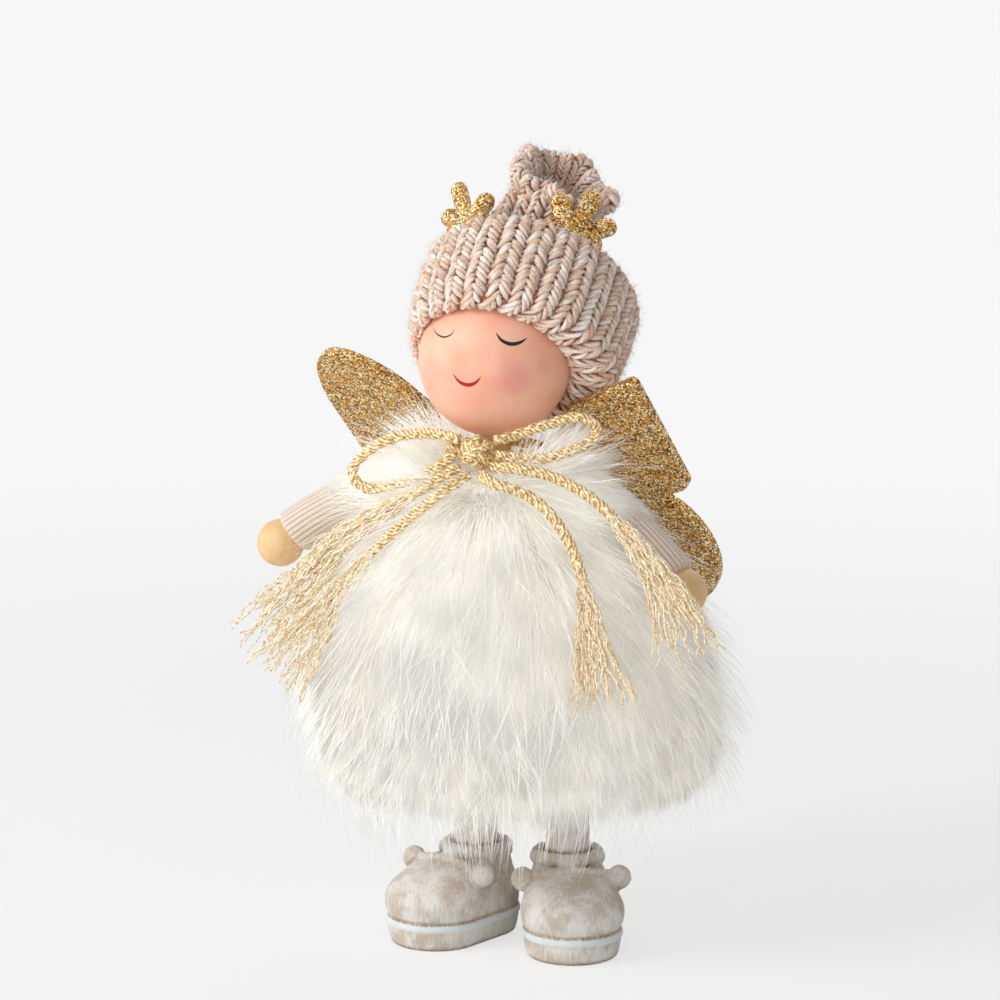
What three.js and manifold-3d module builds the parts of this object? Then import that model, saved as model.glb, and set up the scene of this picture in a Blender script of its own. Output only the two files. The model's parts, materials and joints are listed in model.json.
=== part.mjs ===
// A standing plush angel: fur dress, ball head, knit hat, cast boots, swinging arms and a glitter wing.
// Millimetres, +Z up, the figure faces -Y. Left and right are the figure's own: its left hand is at +X.
import * as THREE from 'three';
import { mergeVertices } from 'three/addons/utils/BufferGeometryUtils.js';
import Module from 'manifold-3d';

const wasm = await Module();
wasm.setup();

// Fits
const clearance = 0.3;
const weldDistance = 1e-4;
const jointOverlap = 0.4;

// Boots, each cast in one piece
const heelRadius = 11;
const ballRadius = 12.4;
const ballReach = 14.5;
const bootGap = 1.4;
const toeOut = 24;
const soleHeight = 5.2;
const soleTaper = 1;
const archHeight = 1.4;
const archLength = 5;
const archBack = 4.5;
const weltHeight = 2;
const weltOverhang = 0.6;
const upperHeight = 12.5;
const upperBulge = 1.3;
const collarRadius = 9.3;
const collarHeight = 4.4;
const socketDepth = 13;
const tieRadius = 1.2;
const pompomRadius = 2.8;
const pompomReach = 16;
const pompomTurn = 50;
const pompomDrop = 1.5;

// Legs and the wooden disc that they are glued into
const legRadius = 5.5;
const discRadius = 24;
const discThickness = 5;
const discHeight = 40;

// Stuffed body under the fur, leaning forward and to the figure's right as it rises
const leanX = -5;
const leanY = -6;
const coreBaseRadius = 26;
const coreHipRadius = 31;
const coreHipHeight = 62;
const coreChestRadius = 26;
const coreChestHeight = 94;
const coreShoulderRadius = 16.5;
const coreShoulderDrop = 5.5;
const coreTopRadius = 10.5;
const coreTopHeight = 120.5;

// Fur dress, from the hem to the neck
const hemHeight = 36;
const hemRadius = 36;
const skirtHeight = 54;
const skirtRadius = 51;
const waistHeight = 92;
const waistRadius = 39;
const shoulderDrop = 4;
const shoulderRadius = 20.5;
const neckRise = 3.5;
const neckRadius = 11;

// Neck dowel and ball head
const pegRadius = 4;
const pegInBody = 16;
const pegInHead = 13;
const neckGap = 5;
const headRadius = 19;

// Knit hat, tipped back on the head
const hatTilt = 47.8;
const crownWall = 2.4;
const crownOffset = 1.2;
const crownHeight = 43;
const crownShoulder = 21;
const crownDraw = 6;
const gatherRadius = 9;
const crownBendX = 5;
const crownBendY = -10;
const cuffWall = 4;
const cuffOffset = 2;
const cuffDrop = 0.4;
const cuffHeight = 24.9;
const foldHeight = 2.2;
const ribCount = 22;
const ribDepth = 0.6;
const threadRadius = 0.8;
const tipRadius = 12;
const tipHeight = 12.5;
const tipDimple = 7;
const tipSlant = 0.5;

// Glitter antlers tucked into the cuff
const prongRadius = 2.4;
const antlerInset = 6;
const antlerSeat = 0.15;
const antlerStem = 2;
const antlerTilt = 9;
const longProng = 13.5;
const innerProng = 7.4;
const outerProng = 7.3;
const innerSpread = 5;
const longSpread = 4;
const outerSpread = 7.9;
const leftAntlerTurn = 50;
const rightAntlerTurn = 118;

// Arms: a knit sleeve over a cotton cord, with a wooden bead for the hand
const armLength = 37;
const armForward = 15;
const leftArmDroop = 34;
const rightArmDroop = 24;
const armArch = 7;
const sleeveRadius = 5;
const sleeveRoom = 0.9;
const cuffFlare = 0.8;
const beadRadius = 6;
const armCordRadius = 1.5;
const armSwing = 40;
const beadBoreDepth = 5;

// Wing: one flat butterfly plate on a felt pad behind the shoulders
const wingThickness = 3;
const wingDrop = 24.5;
const wingStandoff = 5.3;
const wingYaw = 16;
const wingLean = 38;
const wingSpan = 49.7;
const wingRise = 59.5;
const wingShoulder = 25;
const wingShoulderRise = 47;
const wingNotchRise = 23;
const wingCornerSpan = 51.6;
const wingCornerRise = 22;
const wingWaistSpan = 41.2;
const wingWaistRise = 17.3;
const lobeSpan = 50.7;
const lobeDrop = 4;
const lobeFoot = 30;
const wingCornerRound = 3;
const leafSpread = 3.8;
const leafRise = 8.5;
const padRadius = 12;

// Gold braided cord: a ring round the neck, a knot, two loops and four tails that end in frays
const cordRadius = 1.375;
const cordSides = 8;
const neckRingRadius = 11.5;
const knotRadius = 4.6;
const knotAside = 1.5;
const knotRise = 3.6;
const frayRadius = 5.5;
const frayTip = 2.2;

const degrees = THREE.MathUtils.degToRad;
const flat = (x, y) => new THREE.Vector2(x, y);
const spot = (x, y, z) => new THREE.Vector3(x, y, z);

// A closed mesh as a solid that can be joined and cut, faces turned outwards.
function solidOf(geometry) {
  const bare = geometry.clone();
  for (const name of Object.keys(bare.attributes)) {
    if (name !== 'position') bare.deleteAttribute(name);
  }
  const merged = mergeVertices(bare, weldDistance);
  const places = merged.attributes.position;
  const corners = merged.index.array;
  const triangles = [];
  let volume = 0;
  const [a, b, c] = [spot(), spot(), spot()];
  for (let i = 0; i < corners.length; i += 3) {
    const [p, q, r] = corners.slice(i, i + 3);
    if (p === q || q === r || r === p) continue;
    triangles.push([p, q, r]);
    a.fromBufferAttribute(places, p);
    b.fromBufferAttribute(places, q);
    c.fromBufferAttribute(places, r);
    volume += a.dot(b.cross(c));
  }
  const outward = volume > 0 ? triangles : triangles.map((triangle) => triangle.reverse());
  return new wasm.Manifold(new wasm.Mesh({
    numProp: 3,
    vertProperties: Float32Array.from(places.array),
    triVerts: Uint32Array.from(outward.flat()),
  }));
}

function geometryOf(solid) {
  const mesh = solid.getMesh();
  const geometry = new THREE.BufferGeometry();
  geometry.setAttribute('position', new THREE.BufferAttribute(mesh.vertProperties, 3));
  geometry.setIndex(new THREE.BufferAttribute(mesh.triVerts, 1));
  geometry.computeVertexNormals();
  return geometry;
}

const join = (...geometries) => geometries.map(solidOf).reduce((sum, next) => sum.add(next));
const cut = (solid, ...geometries) => geometries.map(solidOf)
  .reduce((rest, next) => rest.subtract(next), solid);

function piece(name, solid, material) {
  const mesh = new THREE.Mesh(geometryOf(solid), material);
  mesh.name = name;
  return mesh;
}

function finish(colour, roughness, metalness = 0) {
  return new THREE.MeshStandardMaterial({ color: colour, roughness, metalness });
}

// A smooth profile through a few points of radius and height.
function smooth(points, divisions) {
  return new THREE.SplineCurve(points).getPoints(divisions);
}

function radiusAt(profile, height) {
  const above = profile.findIndex((point) => point.y >= height);
  const [low, high] = [profile[above - 1], profile[above]];
  return low.x + ((high.x - low.x) * (height - low.y)) / (high.y - low.y);
}

// A profile turned round the Z axis.
function revolve(profile, segments) {
  return new THREE.LatheGeometry(profile, segments).rotateX(Math.PI / 2);
}

// Slides each level of a shape sideways by a function of its height.
function slide(geometry, shift) {
  const places = geometry.attributes.position;
  for (let i = 0; i < places.count; i += 1) {
    const [x, y] = shift(places.getZ(i));
    places.setXY(i, places.getX(i) + x, places.getY(i) + y);
  }
  return geometry;
}

// Raises ribs round the Z axis: the radius grows by a rounded wave.
function rib(geometry, count, depth) {
  const places = geometry.attributes.position;
  for (let i = 0; i < places.count; i += 1) {
    const turn = Math.atan2(places.getY(i), places.getX(i));
    const radius = Math.hypot(places.getX(i), places.getY(i));
    const swell = 1 + (depth * Math.abs(Math.cos((turn * count) / 2))) / Math.max(radius, 1);
    places.setXY(i, places.getX(i) * swell, places.getY(i) * swell);
  }
  return geometry;
}

// Moves an outer wall off centre along X, in step with its distance from the inner wall.
function offCentre(geometry, inner, wall, shift) {
  const places = geometry.attributes.position;
  for (let i = 0; i < places.count; i += 1) {
    const out = (Math.hypot(places.getX(i), places.getY(i)) - inner) / wall;
    places.setX(i, places.getX(i) + shift * THREE.MathUtils.clamp(out, 0, 1));
  }
  return geometry;
}

// A closed skin over rings of points, with a fan over the first and the last ring.
function loft(rings) {
  const count = rings[0].length;
  const middle = (ring) => ring.reduce((sum, point) => sum.add(point), spot(0, 0, 0)).divideScalar(count);
  const points = [...rings.flat(), middle(rings[0]), middle(rings.at(-1))];
  const [first, last] = [points.length - 2, points.length - 1];
  const end = (rings.length - 1) * count;
  const faces = [];
  for (let j = 0; j < count; j += 1) {
    const k = (j + 1) % count;
    for (let i = 0; i < end; i += count) {
      faces.push(i + j, i + k, i + count + k, i + j, i + count + k, i + count + j);
    }
    faces.push(first, k, j, last, end + j, end + k);
  }
  const geometry = new THREE.BufferGeometry().setFromPoints(points);
  geometry.setIndex(faces);
  return geometry;
}

// A round tube along a curve whose radius follows a function of the way along it.
function taper(curve, radiusFrom, steps, sides) {
  const frames = curve.computeFrenetFrames(steps, false);
  const rings = [];
  for (let i = 0; i <= steps; i += 1) {
    const centre = curve.getPointAt(i / steps);
    const radius = radiusFrom(i / steps);
    const ring = [];
    for (let j = 0; j < sides; j += 1) {
      const turn = (2 * Math.PI * j) / sides;
      const point = centre.clone().addScaledVector(frames.normals[i], radius * Math.cos(turn));
      ring.push(point.addScaledVector(frames.binormals[i], radius * Math.sin(turn)));
    }
    rings.push(ring);
  }
  return loft(rings);
}

function rod(from, to, radius, sides = 8) {
  return taper(new THREE.LineCurve3(from, to), () => radius, 1, sides);
}

// A rod with round ends between two points.
function prong(from, to, radius) {
  const way = to.clone().sub(from);
  const capsule = new THREE.CapsuleGeometry(radius, way.length(), 3, 10);
  const turn = new THREE.Quaternion().setFromUnitVectors(spot(0, 1, 0), way.normalize());
  const middle = from.clone().lerp(to, 0.5);
  return capsule.applyQuaternion(turn).translate(middle.x, middle.y, middle.z);
}

const ball = (radius, centre, sides) => new THREE.SphereGeometry(radius, sides, Math.round(sides * 0.6))
  .rotateX(Math.PI / 2).translate(centre.x, centre.y, centre.z);

const cordTube = (curve, steps) => new THREE.ExtrudeGeometry(
  new THREE.Shape().absarc(0, 0, cordRadius, 0, 2 * Math.PI),
  { steps, curveSegments: cordSides / 2, bevelEnabled: false, extrudePath: curve },
);

// Boots. An outline is the hull of a heel circle round the leg and a ball circle ahead of it.
function bootOutline(heel, toe, reach, count = 26) {
  const points = [];
  for (let i = 0; i < count; i += 1) {
    const turn = (2 * Math.PI * (i + 0.5)) / count;
    const ahead = Math.sin(turn) * reach + toe > heel;
    const radius = ahead ? toe : heel;
    points.push(flat(radius * Math.cos(turn), radius * Math.sin(turn) + (ahead ? reach : 0)));
  }
  return points;
}

function slab(outline, bottom, height) {
  const shape = new THREE.Shape(outline);
  return new THREE.ExtrudeGeometry(shape, { depth: height, bevelEnabled: false }).translate(0, 0, bottom);
}

const weltTop = soleHeight + weltHeight;
const collarBottom = weltTop + upperHeight;
const bootTop = collarBottom + collarHeight;
const legX = heelRadius + weltOverhang + bootGap / 2;
const legBottom = bootTop - socketDepth;

function bootUpper() {
  const rings = [];
  const levels = 6;
  for (let i = 0; i <= levels; i += 1) {
    const up = Math.sin((i / levels) * (Math.PI / 2));
    const swell = upperBulge * Math.sin(Math.PI * Math.min(1, up * 1.8));
    const heel = THREE.MathUtils.lerp(heelRadius, collarRadius - 0.8, up ** 2) + swell * 0.4;
    const toe = THREE.MathUtils.lerp(ballRadius, collarRadius - 1, up ** 3) + swell;
    const reach = ballReach * Math.sqrt(Math.max(0, 1 - up ** 3.6));
    const height = weltTop - jointOverlap + up * (upperHeight + 2 * jointOverlap);
    rings.push(bootOutline(heel, toe, reach).map((point) => spot(point.x, point.y, height)));
  }
  return loft(rings);
}

// The rolled collar is a ring with a round section, open for the leg.
function bootCollar() {
  const half = collarHeight / 2;
  const bore = legRadius + clearance;
  const profile = [
    flat(bore, collarBottom),
    flat(collarRadius - 1, collarBottom),
    flat(collarRadius, collarBottom + half * 0.7),
    flat(collarRadius, collarBottom + half * 1.3),
    flat(collarRadius - 1, bootTop - 0.4),
    flat(collarRadius - 2, bootTop),
    flat(bore, bootTop - 0.6),
    flat(bore, collarBottom),
  ];
  return revolve(profile, 28);
}

function boot(side) {
  const level = (inset, height) => bootOutline(heelRadius - inset, ballRadius - inset, ballReach)
    .map((point) => spot(point.x, point.y, height));
  const sole = loft([level(soleTaper, 0), level(0, soleHeight + jointOverlap)]);
  const welt = slab(
    bootOutline(heelRadius + weltOverhang, ballRadius + weltOverhang, ballReach), soleHeight, weltHeight,
  );
  const arch = new THREE.BoxGeometry(3 * ballRadius, archLength, 2 * archHeight).translate(0, archBack, 0);
  const socket = rod(spot(0, 0, legBottom), spot(0, 0, bootTop + 1), legRadius + clearance, 24);
  const ties = [-1, 1].flatMap((hand) => {
    const turn = degrees(90 - hand * pompomTurn);
    const height = collarBottom - pompomDrop;
    const end = spot(pompomReach * Math.cos(turn), pompomReach * Math.sin(turn), height);
    const start = spot(0, legRadius + 3, collarBottom);
    return [rod(start, end, tieRadius), ball(pompomRadius, end, 10)];
  });
  const cast = cut(join(sole, welt, bootUpper(), bootCollar(), ...ties), arch, socket);
  const mesh = piece(side > 0 ? 'left_boot' : 'right_boot', cast, finish(0xc9bfae, 0.75));
  mesh.position.set(side * legX, 0, 0);
  mesh.rotation.z = Math.PI + side * degrees(toeOut);
  return mesh;
}

function leg(side) {
  const dowel = rod(spot(0, 0, legBottom + clearance), spot(0, 0, discHeight + discThickness), legRadius, 24);
  const mesh = piece(side > 0 ? 'left_leg' : 'right_leg', solidOf(dowel), finish(0xe6e2da, 0.7));
  mesh.position.set(side * legX, 0, 0);
  return mesh;
}

function baseDisc() {
  const top = discHeight + discThickness;
  const disc = solidOf(rod(spot(0, 0, discHeight), spot(0, 0, top), discRadius, 40));
  const holes = [-1, 1].map((side) => rod(
    spot(side * legX, 0, discHeight - 1), spot(side * legX, 0, top + 1), legRadius + clearance, 24,
  ));
  return piece('base_disc', cut(disc, ...holes), finish(0xc8a77c, 0.8));
}

// Body. The lean grows smoothly from the disc to the neck.
const coreBottom = discHeight + discThickness + clearance;
const coreShoulderHeight = coreTopHeight - coreShoulderDrop;
const armHeight = coreShoulderHeight;
const neckHeight = coreTopHeight + neckRise;
const wingHeight = neckHeight - wingDrop;
const leanAt = (height) => {
  const rise = THREE.MathUtils.smoothstep(height, coreBottom, coreTopHeight);
  return [leanX * rise, leanY * rise];
};
const coreProfile = smooth([
  flat(coreBaseRadius, coreBottom),
  flat(coreHipRadius, coreHipHeight),
  flat(coreChestRadius, coreChestHeight),
  flat(coreShoulderRadius, coreShoulderHeight),
  flat(coreTopRadius, coreTopHeight),
], 8);
const furProfile = smooth([
  flat(hemRadius, hemHeight),
  flat(skirtRadius, skirtHeight),
  flat(waistRadius, waistHeight),
  flat(shoulderRadius, neckHeight - shoulderDrop),
  flat(neckRadius, neckHeight),
], 10);
const neck = spot(leanX, leanY, neckHeight);
const pegBottom = coreTopHeight - pegInBody;
const headCentre = spot(leanX, leanY, neckHeight + neckGap + headRadius);
const pegTop = headCentre.z - headRadius + pegInHead;

// Arms. Each swings about a line along Y through its shoulder.
function armCurve(side, droop) {
  const out = spot(side * Math.cos(degrees(armForward)), -Math.sin(degrees(armForward)), 0);
  const [x, y] = leanAt(armHeight);
  const reach = radiusAt(coreProfile, armHeight) + sleeveRadius + clearance;
  const shoulder = spot(x + side * reach, y, armHeight);
  const hand = shoulder.clone().addScaledVector(out, armLength * Math.cos(degrees(droop)));
  hand.z -= armLength * Math.sin(degrees(droop));
  const bend = shoulder.clone().lerp(hand, 0.5);
  bend.z += armArch;
  return new THREE.QuadraticBezierCurve3(shoulder, bend, hand);
}

const arms = [
  { side: 1, name: 'left', curve: armCurve(1, leftArmDroop) },
  { side: -1, name: 'right', curve: armCurve(-1, rightArmDroop) },
];

// A sleeve is rounded at the shoulder and flares a little towards the hand.
function sleeveShape(arm, margin, steps = 14, sides = 14) {
  const start = sleeveRadius / armLength;
  const lead = arm.curve.getPointAt(0).clone().addScaledVector(arm.curve.getTangentAt(0), -sleeveRadius);
  const tail = arm.curve.getPointAt(1 - (beadRadius * 0.75) / armLength);
  const way = new THREE.CatmullRomCurve3([
    lead, arm.curve.getPointAt(0), arm.curve.getPointAt(0.3), arm.curve.getPointAt(0.6), tail,
  ]);
  const radius = (along) => {
    const cap = Math.min(1, along / (2 * start));
    const dome = Math.sqrt(Math.max(0.02, 1 - (1 - cap) ** 2));
    return (sleeveRadius + cuffFlare * along ** 2) * dome + margin;
  };
  return taper(way, radius, steps, sides);
}

function lifted(geometry, arm, angle) {
  const pivot = arm.curve.getPointAt(0);
  return geometry.translate(-pivot.x, -pivot.y, -pivot.z).rotateY(-arm.side * degrees(angle))
    .translate(pivot.x, pivot.y, pivot.z);
}

function armSweep(arm) {
  const stops = [0, armSwing / 3, (2 * armSwing) / 3, armSwing];
  return stops.map((angle) => lifted(sleeveShape(arm, sleeveRoom, 10, 10), arm, angle));
}

function armPieces(arm) {
  const hand = arm.curve.getPointAt(1);
  const way = arm.curve.getTangentAt(1);
  const boreEnd = hand.clone().addScaledVector(way, beadBoreDepth - beadRadius);
  const beadBack = hand.clone().addScaledVector(way, -beadRadius - 1);
  const bead = cut(
    solidOf(ball(beadRadius, hand, 18)), rod(beadBack, boreEnd, armCordRadius + clearance, 12),
  );
  const cordEnd = boreEnd.clone().addScaledVector(way, -clearance);
  const cordWay = new THREE.CatmullRomCurve3([
    arm.curve.getPointAt(0.02), arm.curve.getPointAt(0.4), arm.curve.getPointAt(0.75), cordEnd,
  ]);
  const core = (margin) => taper(cordWay, () => armCordRadius + margin, 10, 10);
  const mouth = ball(beadRadius + clearance, hand, 18);
  const sleeve = cut(solidOf(sleeveShape(arm, 0)), core(clearance), mouth);
  return [
    piece(`${arm.name}_sleeve`, sleeve, finish(0xeee4df, 0.95)),
    piece(`${arm.name}_arm_cord`, solidOf(core(0)), finish(0xe8e0d4, 0.95)),
    piece(`${arm.name}_hand`, bead, finish(0xd9b183, 0.5)),
  ];
}

function bodyCore() {
  const profile = [flat(0, coreBottom), ...coreProfile, flat(0, coreTopHeight)];
  const stuffed = solidOf(slide(revolve(profile, 32), leanAt));
  const bore = rod(spot(neck.x, neck.y, pegBottom), neck, pegRadius + clearance, 16);
  const sockets = arms.map((arm) => ball(sleeveRadius + clearance, arm.curve.getPointAt(0), 20));
  return piece('body_core', cut(stuffed, bore, ...sockets), finish(0xf0ece2, 1));
}

function furDress() {
  const bore = pegRadius + clearance;
  const inside = coreProfile.map((point) => flat(point.x + clearance, point.y + clearance)).reverse();
  const profile = [
    ...furProfile,
    flat(bore, neckHeight),
    flat(bore, coreTopHeight + clearance),
    ...inside,
    flat(coreBaseRadius + clearance, discHeight - 1),
    furProfile[0],
  ];
  const fur = solidOf(slide(revolve(profile, 30), leanAt));
  return piece('fur_dress', cut(fur, ...arms.flatMap(armSweep)), finish(0xf3ecdf, 1));
}

function neckPeg() {
  const foot = spot(neck.x, neck.y, pegBottom + clearance);
  const peg = rod(foot, spot(neck.x, neck.y, pegTop - clearance), pegRadius, 16);
  return piece('neck_peg', solidOf(peg), finish(0xcda878, 0.8));
}

function headBall() {
  const below = spot(headCentre.x, headCentre.y, headCentre.z - headRadius - 1);
  const bore = rod(below, spot(headCentre.x, headCentre.y, pegTop), pegRadius + clearance, 16);
  return piece('head_ball', cut(solidOf(ball(headRadius, headCentre, 26)), bore), finish(0xf2c9a8, 0.6));
}

// Hat, in a frame at the head's centre with its own axis along Z and its front at -Y.
const hatFrame = new THREE.Group();
hatFrame.position.copy(headCentre);
hatFrame.rotation.x = -degrees(hatTilt);
hatFrame.updateMatrixWorld();
const crownRadius = headRadius + clearance + crownWall;
const cuffTop = cuffHeight - cuffDrop;
const cuffInner = crownRadius + ribDepth + clearance;
const cuffOuter = cuffInner + cuffWall;
const ribSegments = ribCount * 2;

const crownShift = (height) => {
  const bend = Math.max(0, (height - crownShoulder) / (crownHeight - crownShoulder)) ** 2;
  return [crownBendX * bend, crownBendY * bend];
};

// The crown of the bag hugs the ball, closes in above it and is drawn together at the top.
function hatCrown() {
  const closing = smooth([
    flat(crownRadius, crownShoulder),
    flat(crownRadius - crownDraw, crownShoulder + crownDraw),
    flat(gatherRadius, crownHeight),
  ], 6);
  const outside = [flat(crownRadius, crownWall - cuffDrop), ...closing];
  const hollow = outside.map((point) => flat(point.x - crownWall, point.y - crownWall * 0.3)).reverse();
  const profile = [...outside, flat(0, crownHeight), flat(0, crownHeight - crownWall), ...hollow, outside[0]];
  const bag = rib(revolve(profile, ribSegments), ribCount, ribDepth * 0.6);
  return solidOf(slide(offCentre(bag, headRadius + clearance, crownWall, crownOffset), crownShift));
}

// The fold turns the rim of the bag outwards and up: it bridges from the crown to the cuff at the brow.
function hatFold() {
  const [inner, outer] = [headRadius + clearance, cuffInner + cuffWall / 2];
  const middle = (inner + outer) / 2;
  const round = [0, 1, 2, 3, 4].map((step) => flat(
    middle - ((outer - inner) / 2) * Math.cos((step * Math.PI) / 4),
    foldHeight - cuffDrop - foldHeight * Math.sin((step * Math.PI) / 4),
  ));
  const profile = [...round, flat(outer, 2 * foldHeight - cuffDrop), round[0]];
  const ring = revolve(profile, ribSegments);
  return solidOf(offCentre(ring, inner, outer - inner, crownOffset + cuffOffset / 2));
}

// The cuff is the rim of the bag standing outside the crown, so both of its edges are round.
function hatCuff() {
  const half = cuffWall / 2;
  const round = (turn, height) => flat(
    cuffInner + half + half * Math.cos(turn), height + half * Math.sin(turn),
  );
  const turns = [0, 1, 2, 3, 4].map((step) => (step * Math.PI) / 4);
  const bulge = flat(cuffOuter + 0.6, (cuffTop - cuffDrop) / 2);
  const profile = [
    bulge,
    ...turns.map((turn) => round(turn, cuffTop - half)),
    ...turns.map((turn) => round(turn + Math.PI, half - cuffDrop)),
    bulge,
  ];
  const band = rib(revolve(profile, ribSegments), ribCount, ribDepth);
  return solidOf(offCentre(band, cuffInner, cuffWall, cuffOffset).translate(crownOffset, 0, 0));
}

// The tip is the gathered end of the bag, a ruffle with a hollow in its middle, flopped to one side.
function hatTip() {
  const base = crownHeight - jointOverlap;
  const profile = smooth([
    flat(gatherRadius - jointOverlap, base),
    flat(tipRadius, base + tipHeight * 0.6),
    flat(tipRadius - 3, base + tipHeight),
    flat(tipRadius - 6, base + tipHeight - tipDimple * 0.6),
    flat(0, base + tipHeight - tipDimple),
  ], 12);
  const [x, y] = crownShift(crownHeight);
  const shift = (height) => [x + tipSlant * (height - base), y];
  return solidOf(slide(revolve([flat(0, base), ...profile], 24), shift));
}

function gatherThread() {
  const [x, y] = crownShift(crownHeight);
  const ring = gatherRadius + ribDepth + 2 * clearance + threadRadius;
  const section = [0, 1, 2, 3, 4, 5, 6].map((step) => {
    const turn = (step * Math.PI) / 3;
    return flat(ring + threadRadius * Math.cos(turn), crownHeight + threadRadius * Math.sin(turn));
  });
  return solidOf(revolve(section, 20).translate(x, y, 0));
}

// An antler is a short stem with three round prongs; hand is the side that its short prong points to.
function antler(turn, hand) {
  const branch = spot(0, 0, antlerStem);
  const shape = [
    prong(spot(0, 0, -antlerInset), branch, prongRadius),
    prong(branch, spot(hand * longSpread, 0, longProng), prongRadius),
    prong(branch, spot(-hand * innerSpread, 0, innerProng), prongRadius),
    prong(branch, spot(hand * outerSpread, 0, outerProng), prongRadius),
  ];
  return shape.map((geometry) => seatAntler(geometry, turn));
}

// Sets a shape that stands at the origin behind the cuff's top edge, tipped outwards.
function seatAntler(geometry, turn) {
  return geometry.rotateX(degrees(antlerTilt)).translate(0, -cuffInner - cuffWall * antlerSeat, cuffTop)
    .rotateZ(degrees(90 - turn)).translate(crownOffset + cuffOffset / 2, 0, 0);
}

function antlerPocket(turn) {
  const bottom = spot(0, 0, -antlerInset - prongRadius - clearance);
  return seatAntler(rod(bottom, spot(0, 0, antlerStem), prongRadius + 2 * clearance, 12), turn);
}

// Wing plate, in a frame at its root with Z up along the plate and its front at -Y.
const wingFrame = new THREE.Group();
const [rootX, rootY] = leanAt(wingHeight);
wingFrame.position.set(rootX, rootY + radiusAt(furProfile, wingHeight) + wingStandoff, wingHeight);
wingFrame.rotation.order = 'ZXY';
wingFrame.rotation.z = -degrees(wingYaw);
wingFrame.rotation.x = degrees(wingLean);
wingFrame.updateMatrixWorld();

function wingHalf(leaf) {
  const shoulder = flat(wingShoulder, wingShoulderRise);
  const tip = flat(wingSpan, wingRise);
  const corner = flat(wingCornerSpan, wingCornerRise);
  const waist = flat(wingWaistSpan, wingWaistRise);
  const shape = new THREE.Shape();
  const rounded = (before, at, after) => {
    const into = before.clone().sub(at).setLength(wingCornerRound).add(at);
    const out = after.clone().sub(at).setLength(wingCornerRound).add(at);
    shape.lineTo(into.x, into.y);
    shape.quadraticCurveTo(at.x, at.y, out.x, out.y);
  };
  shape.moveTo(0, wingNotchRise);
  shape.quadraticCurveTo(wingShoulder * 0.6, wingNotchRise + 8, shoulder.x, shoulder.y);
  if (leaf) {
    const outer = wingSpan + leafSpread;
    shape.bezierCurveTo(
      shoulder.x + 8, shoulder.y + 11, outer, wingRise + leafRise, outer, (wingRise + wingCornerRise) / 2,
    );
  } else {
    rounded(shoulder, tip, corner);
  }
  rounded(tip, corner, waist);
  shape.lineTo(waist.x, waist.y);
  shape.bezierCurveTo(
    lobeSpan + 1, wingWaistRise - 5, lobeSpan + 6, -lobeDrop - 12, lobeFoot, -lobeFoot * 0.85,
  );
  shape.quadraticCurveTo(lobeFoot * 0.3, -lobeFoot, 0, -lobeFoot * 0.3);
  return shape.getPoints(6);
}

function wingOutline() {
  const right = wingHalf(true).slice(1, -1).reverse().map((point) => flat(-point.x, point.y));
  return [...wingHalf(false), ...right];
}

function wingPlate(margin = 0) {
  const depth = wingThickness + 2 * margin;
  const plate = new THREE.ExtrudeGeometry(new THREE.Shape(wingOutline()), { depth, bevelEnabled: false });
  return plate.translate(0, 0, -depth / 2).rotateX(Math.PI / 2);
}

function wingPad() {
  const front = -wingThickness / 2 - clearance;
  const pad = rod(spot(0, front, 0), spot(0, front - 2.5 * wingStandoff, 0), padRadius, 24);
  const local = pad.applyMatrix4(wingFrame.matrixWorld);
  const swollen = furProfile.map((point) => flat(point.x + clearance, point.y));
  const bell = [flat(0, hemHeight), ...swollen, flat(0, neckHeight)];
  return cut(solidOf(local), slide(revolve(bell, 40), leanAt));
}

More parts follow.
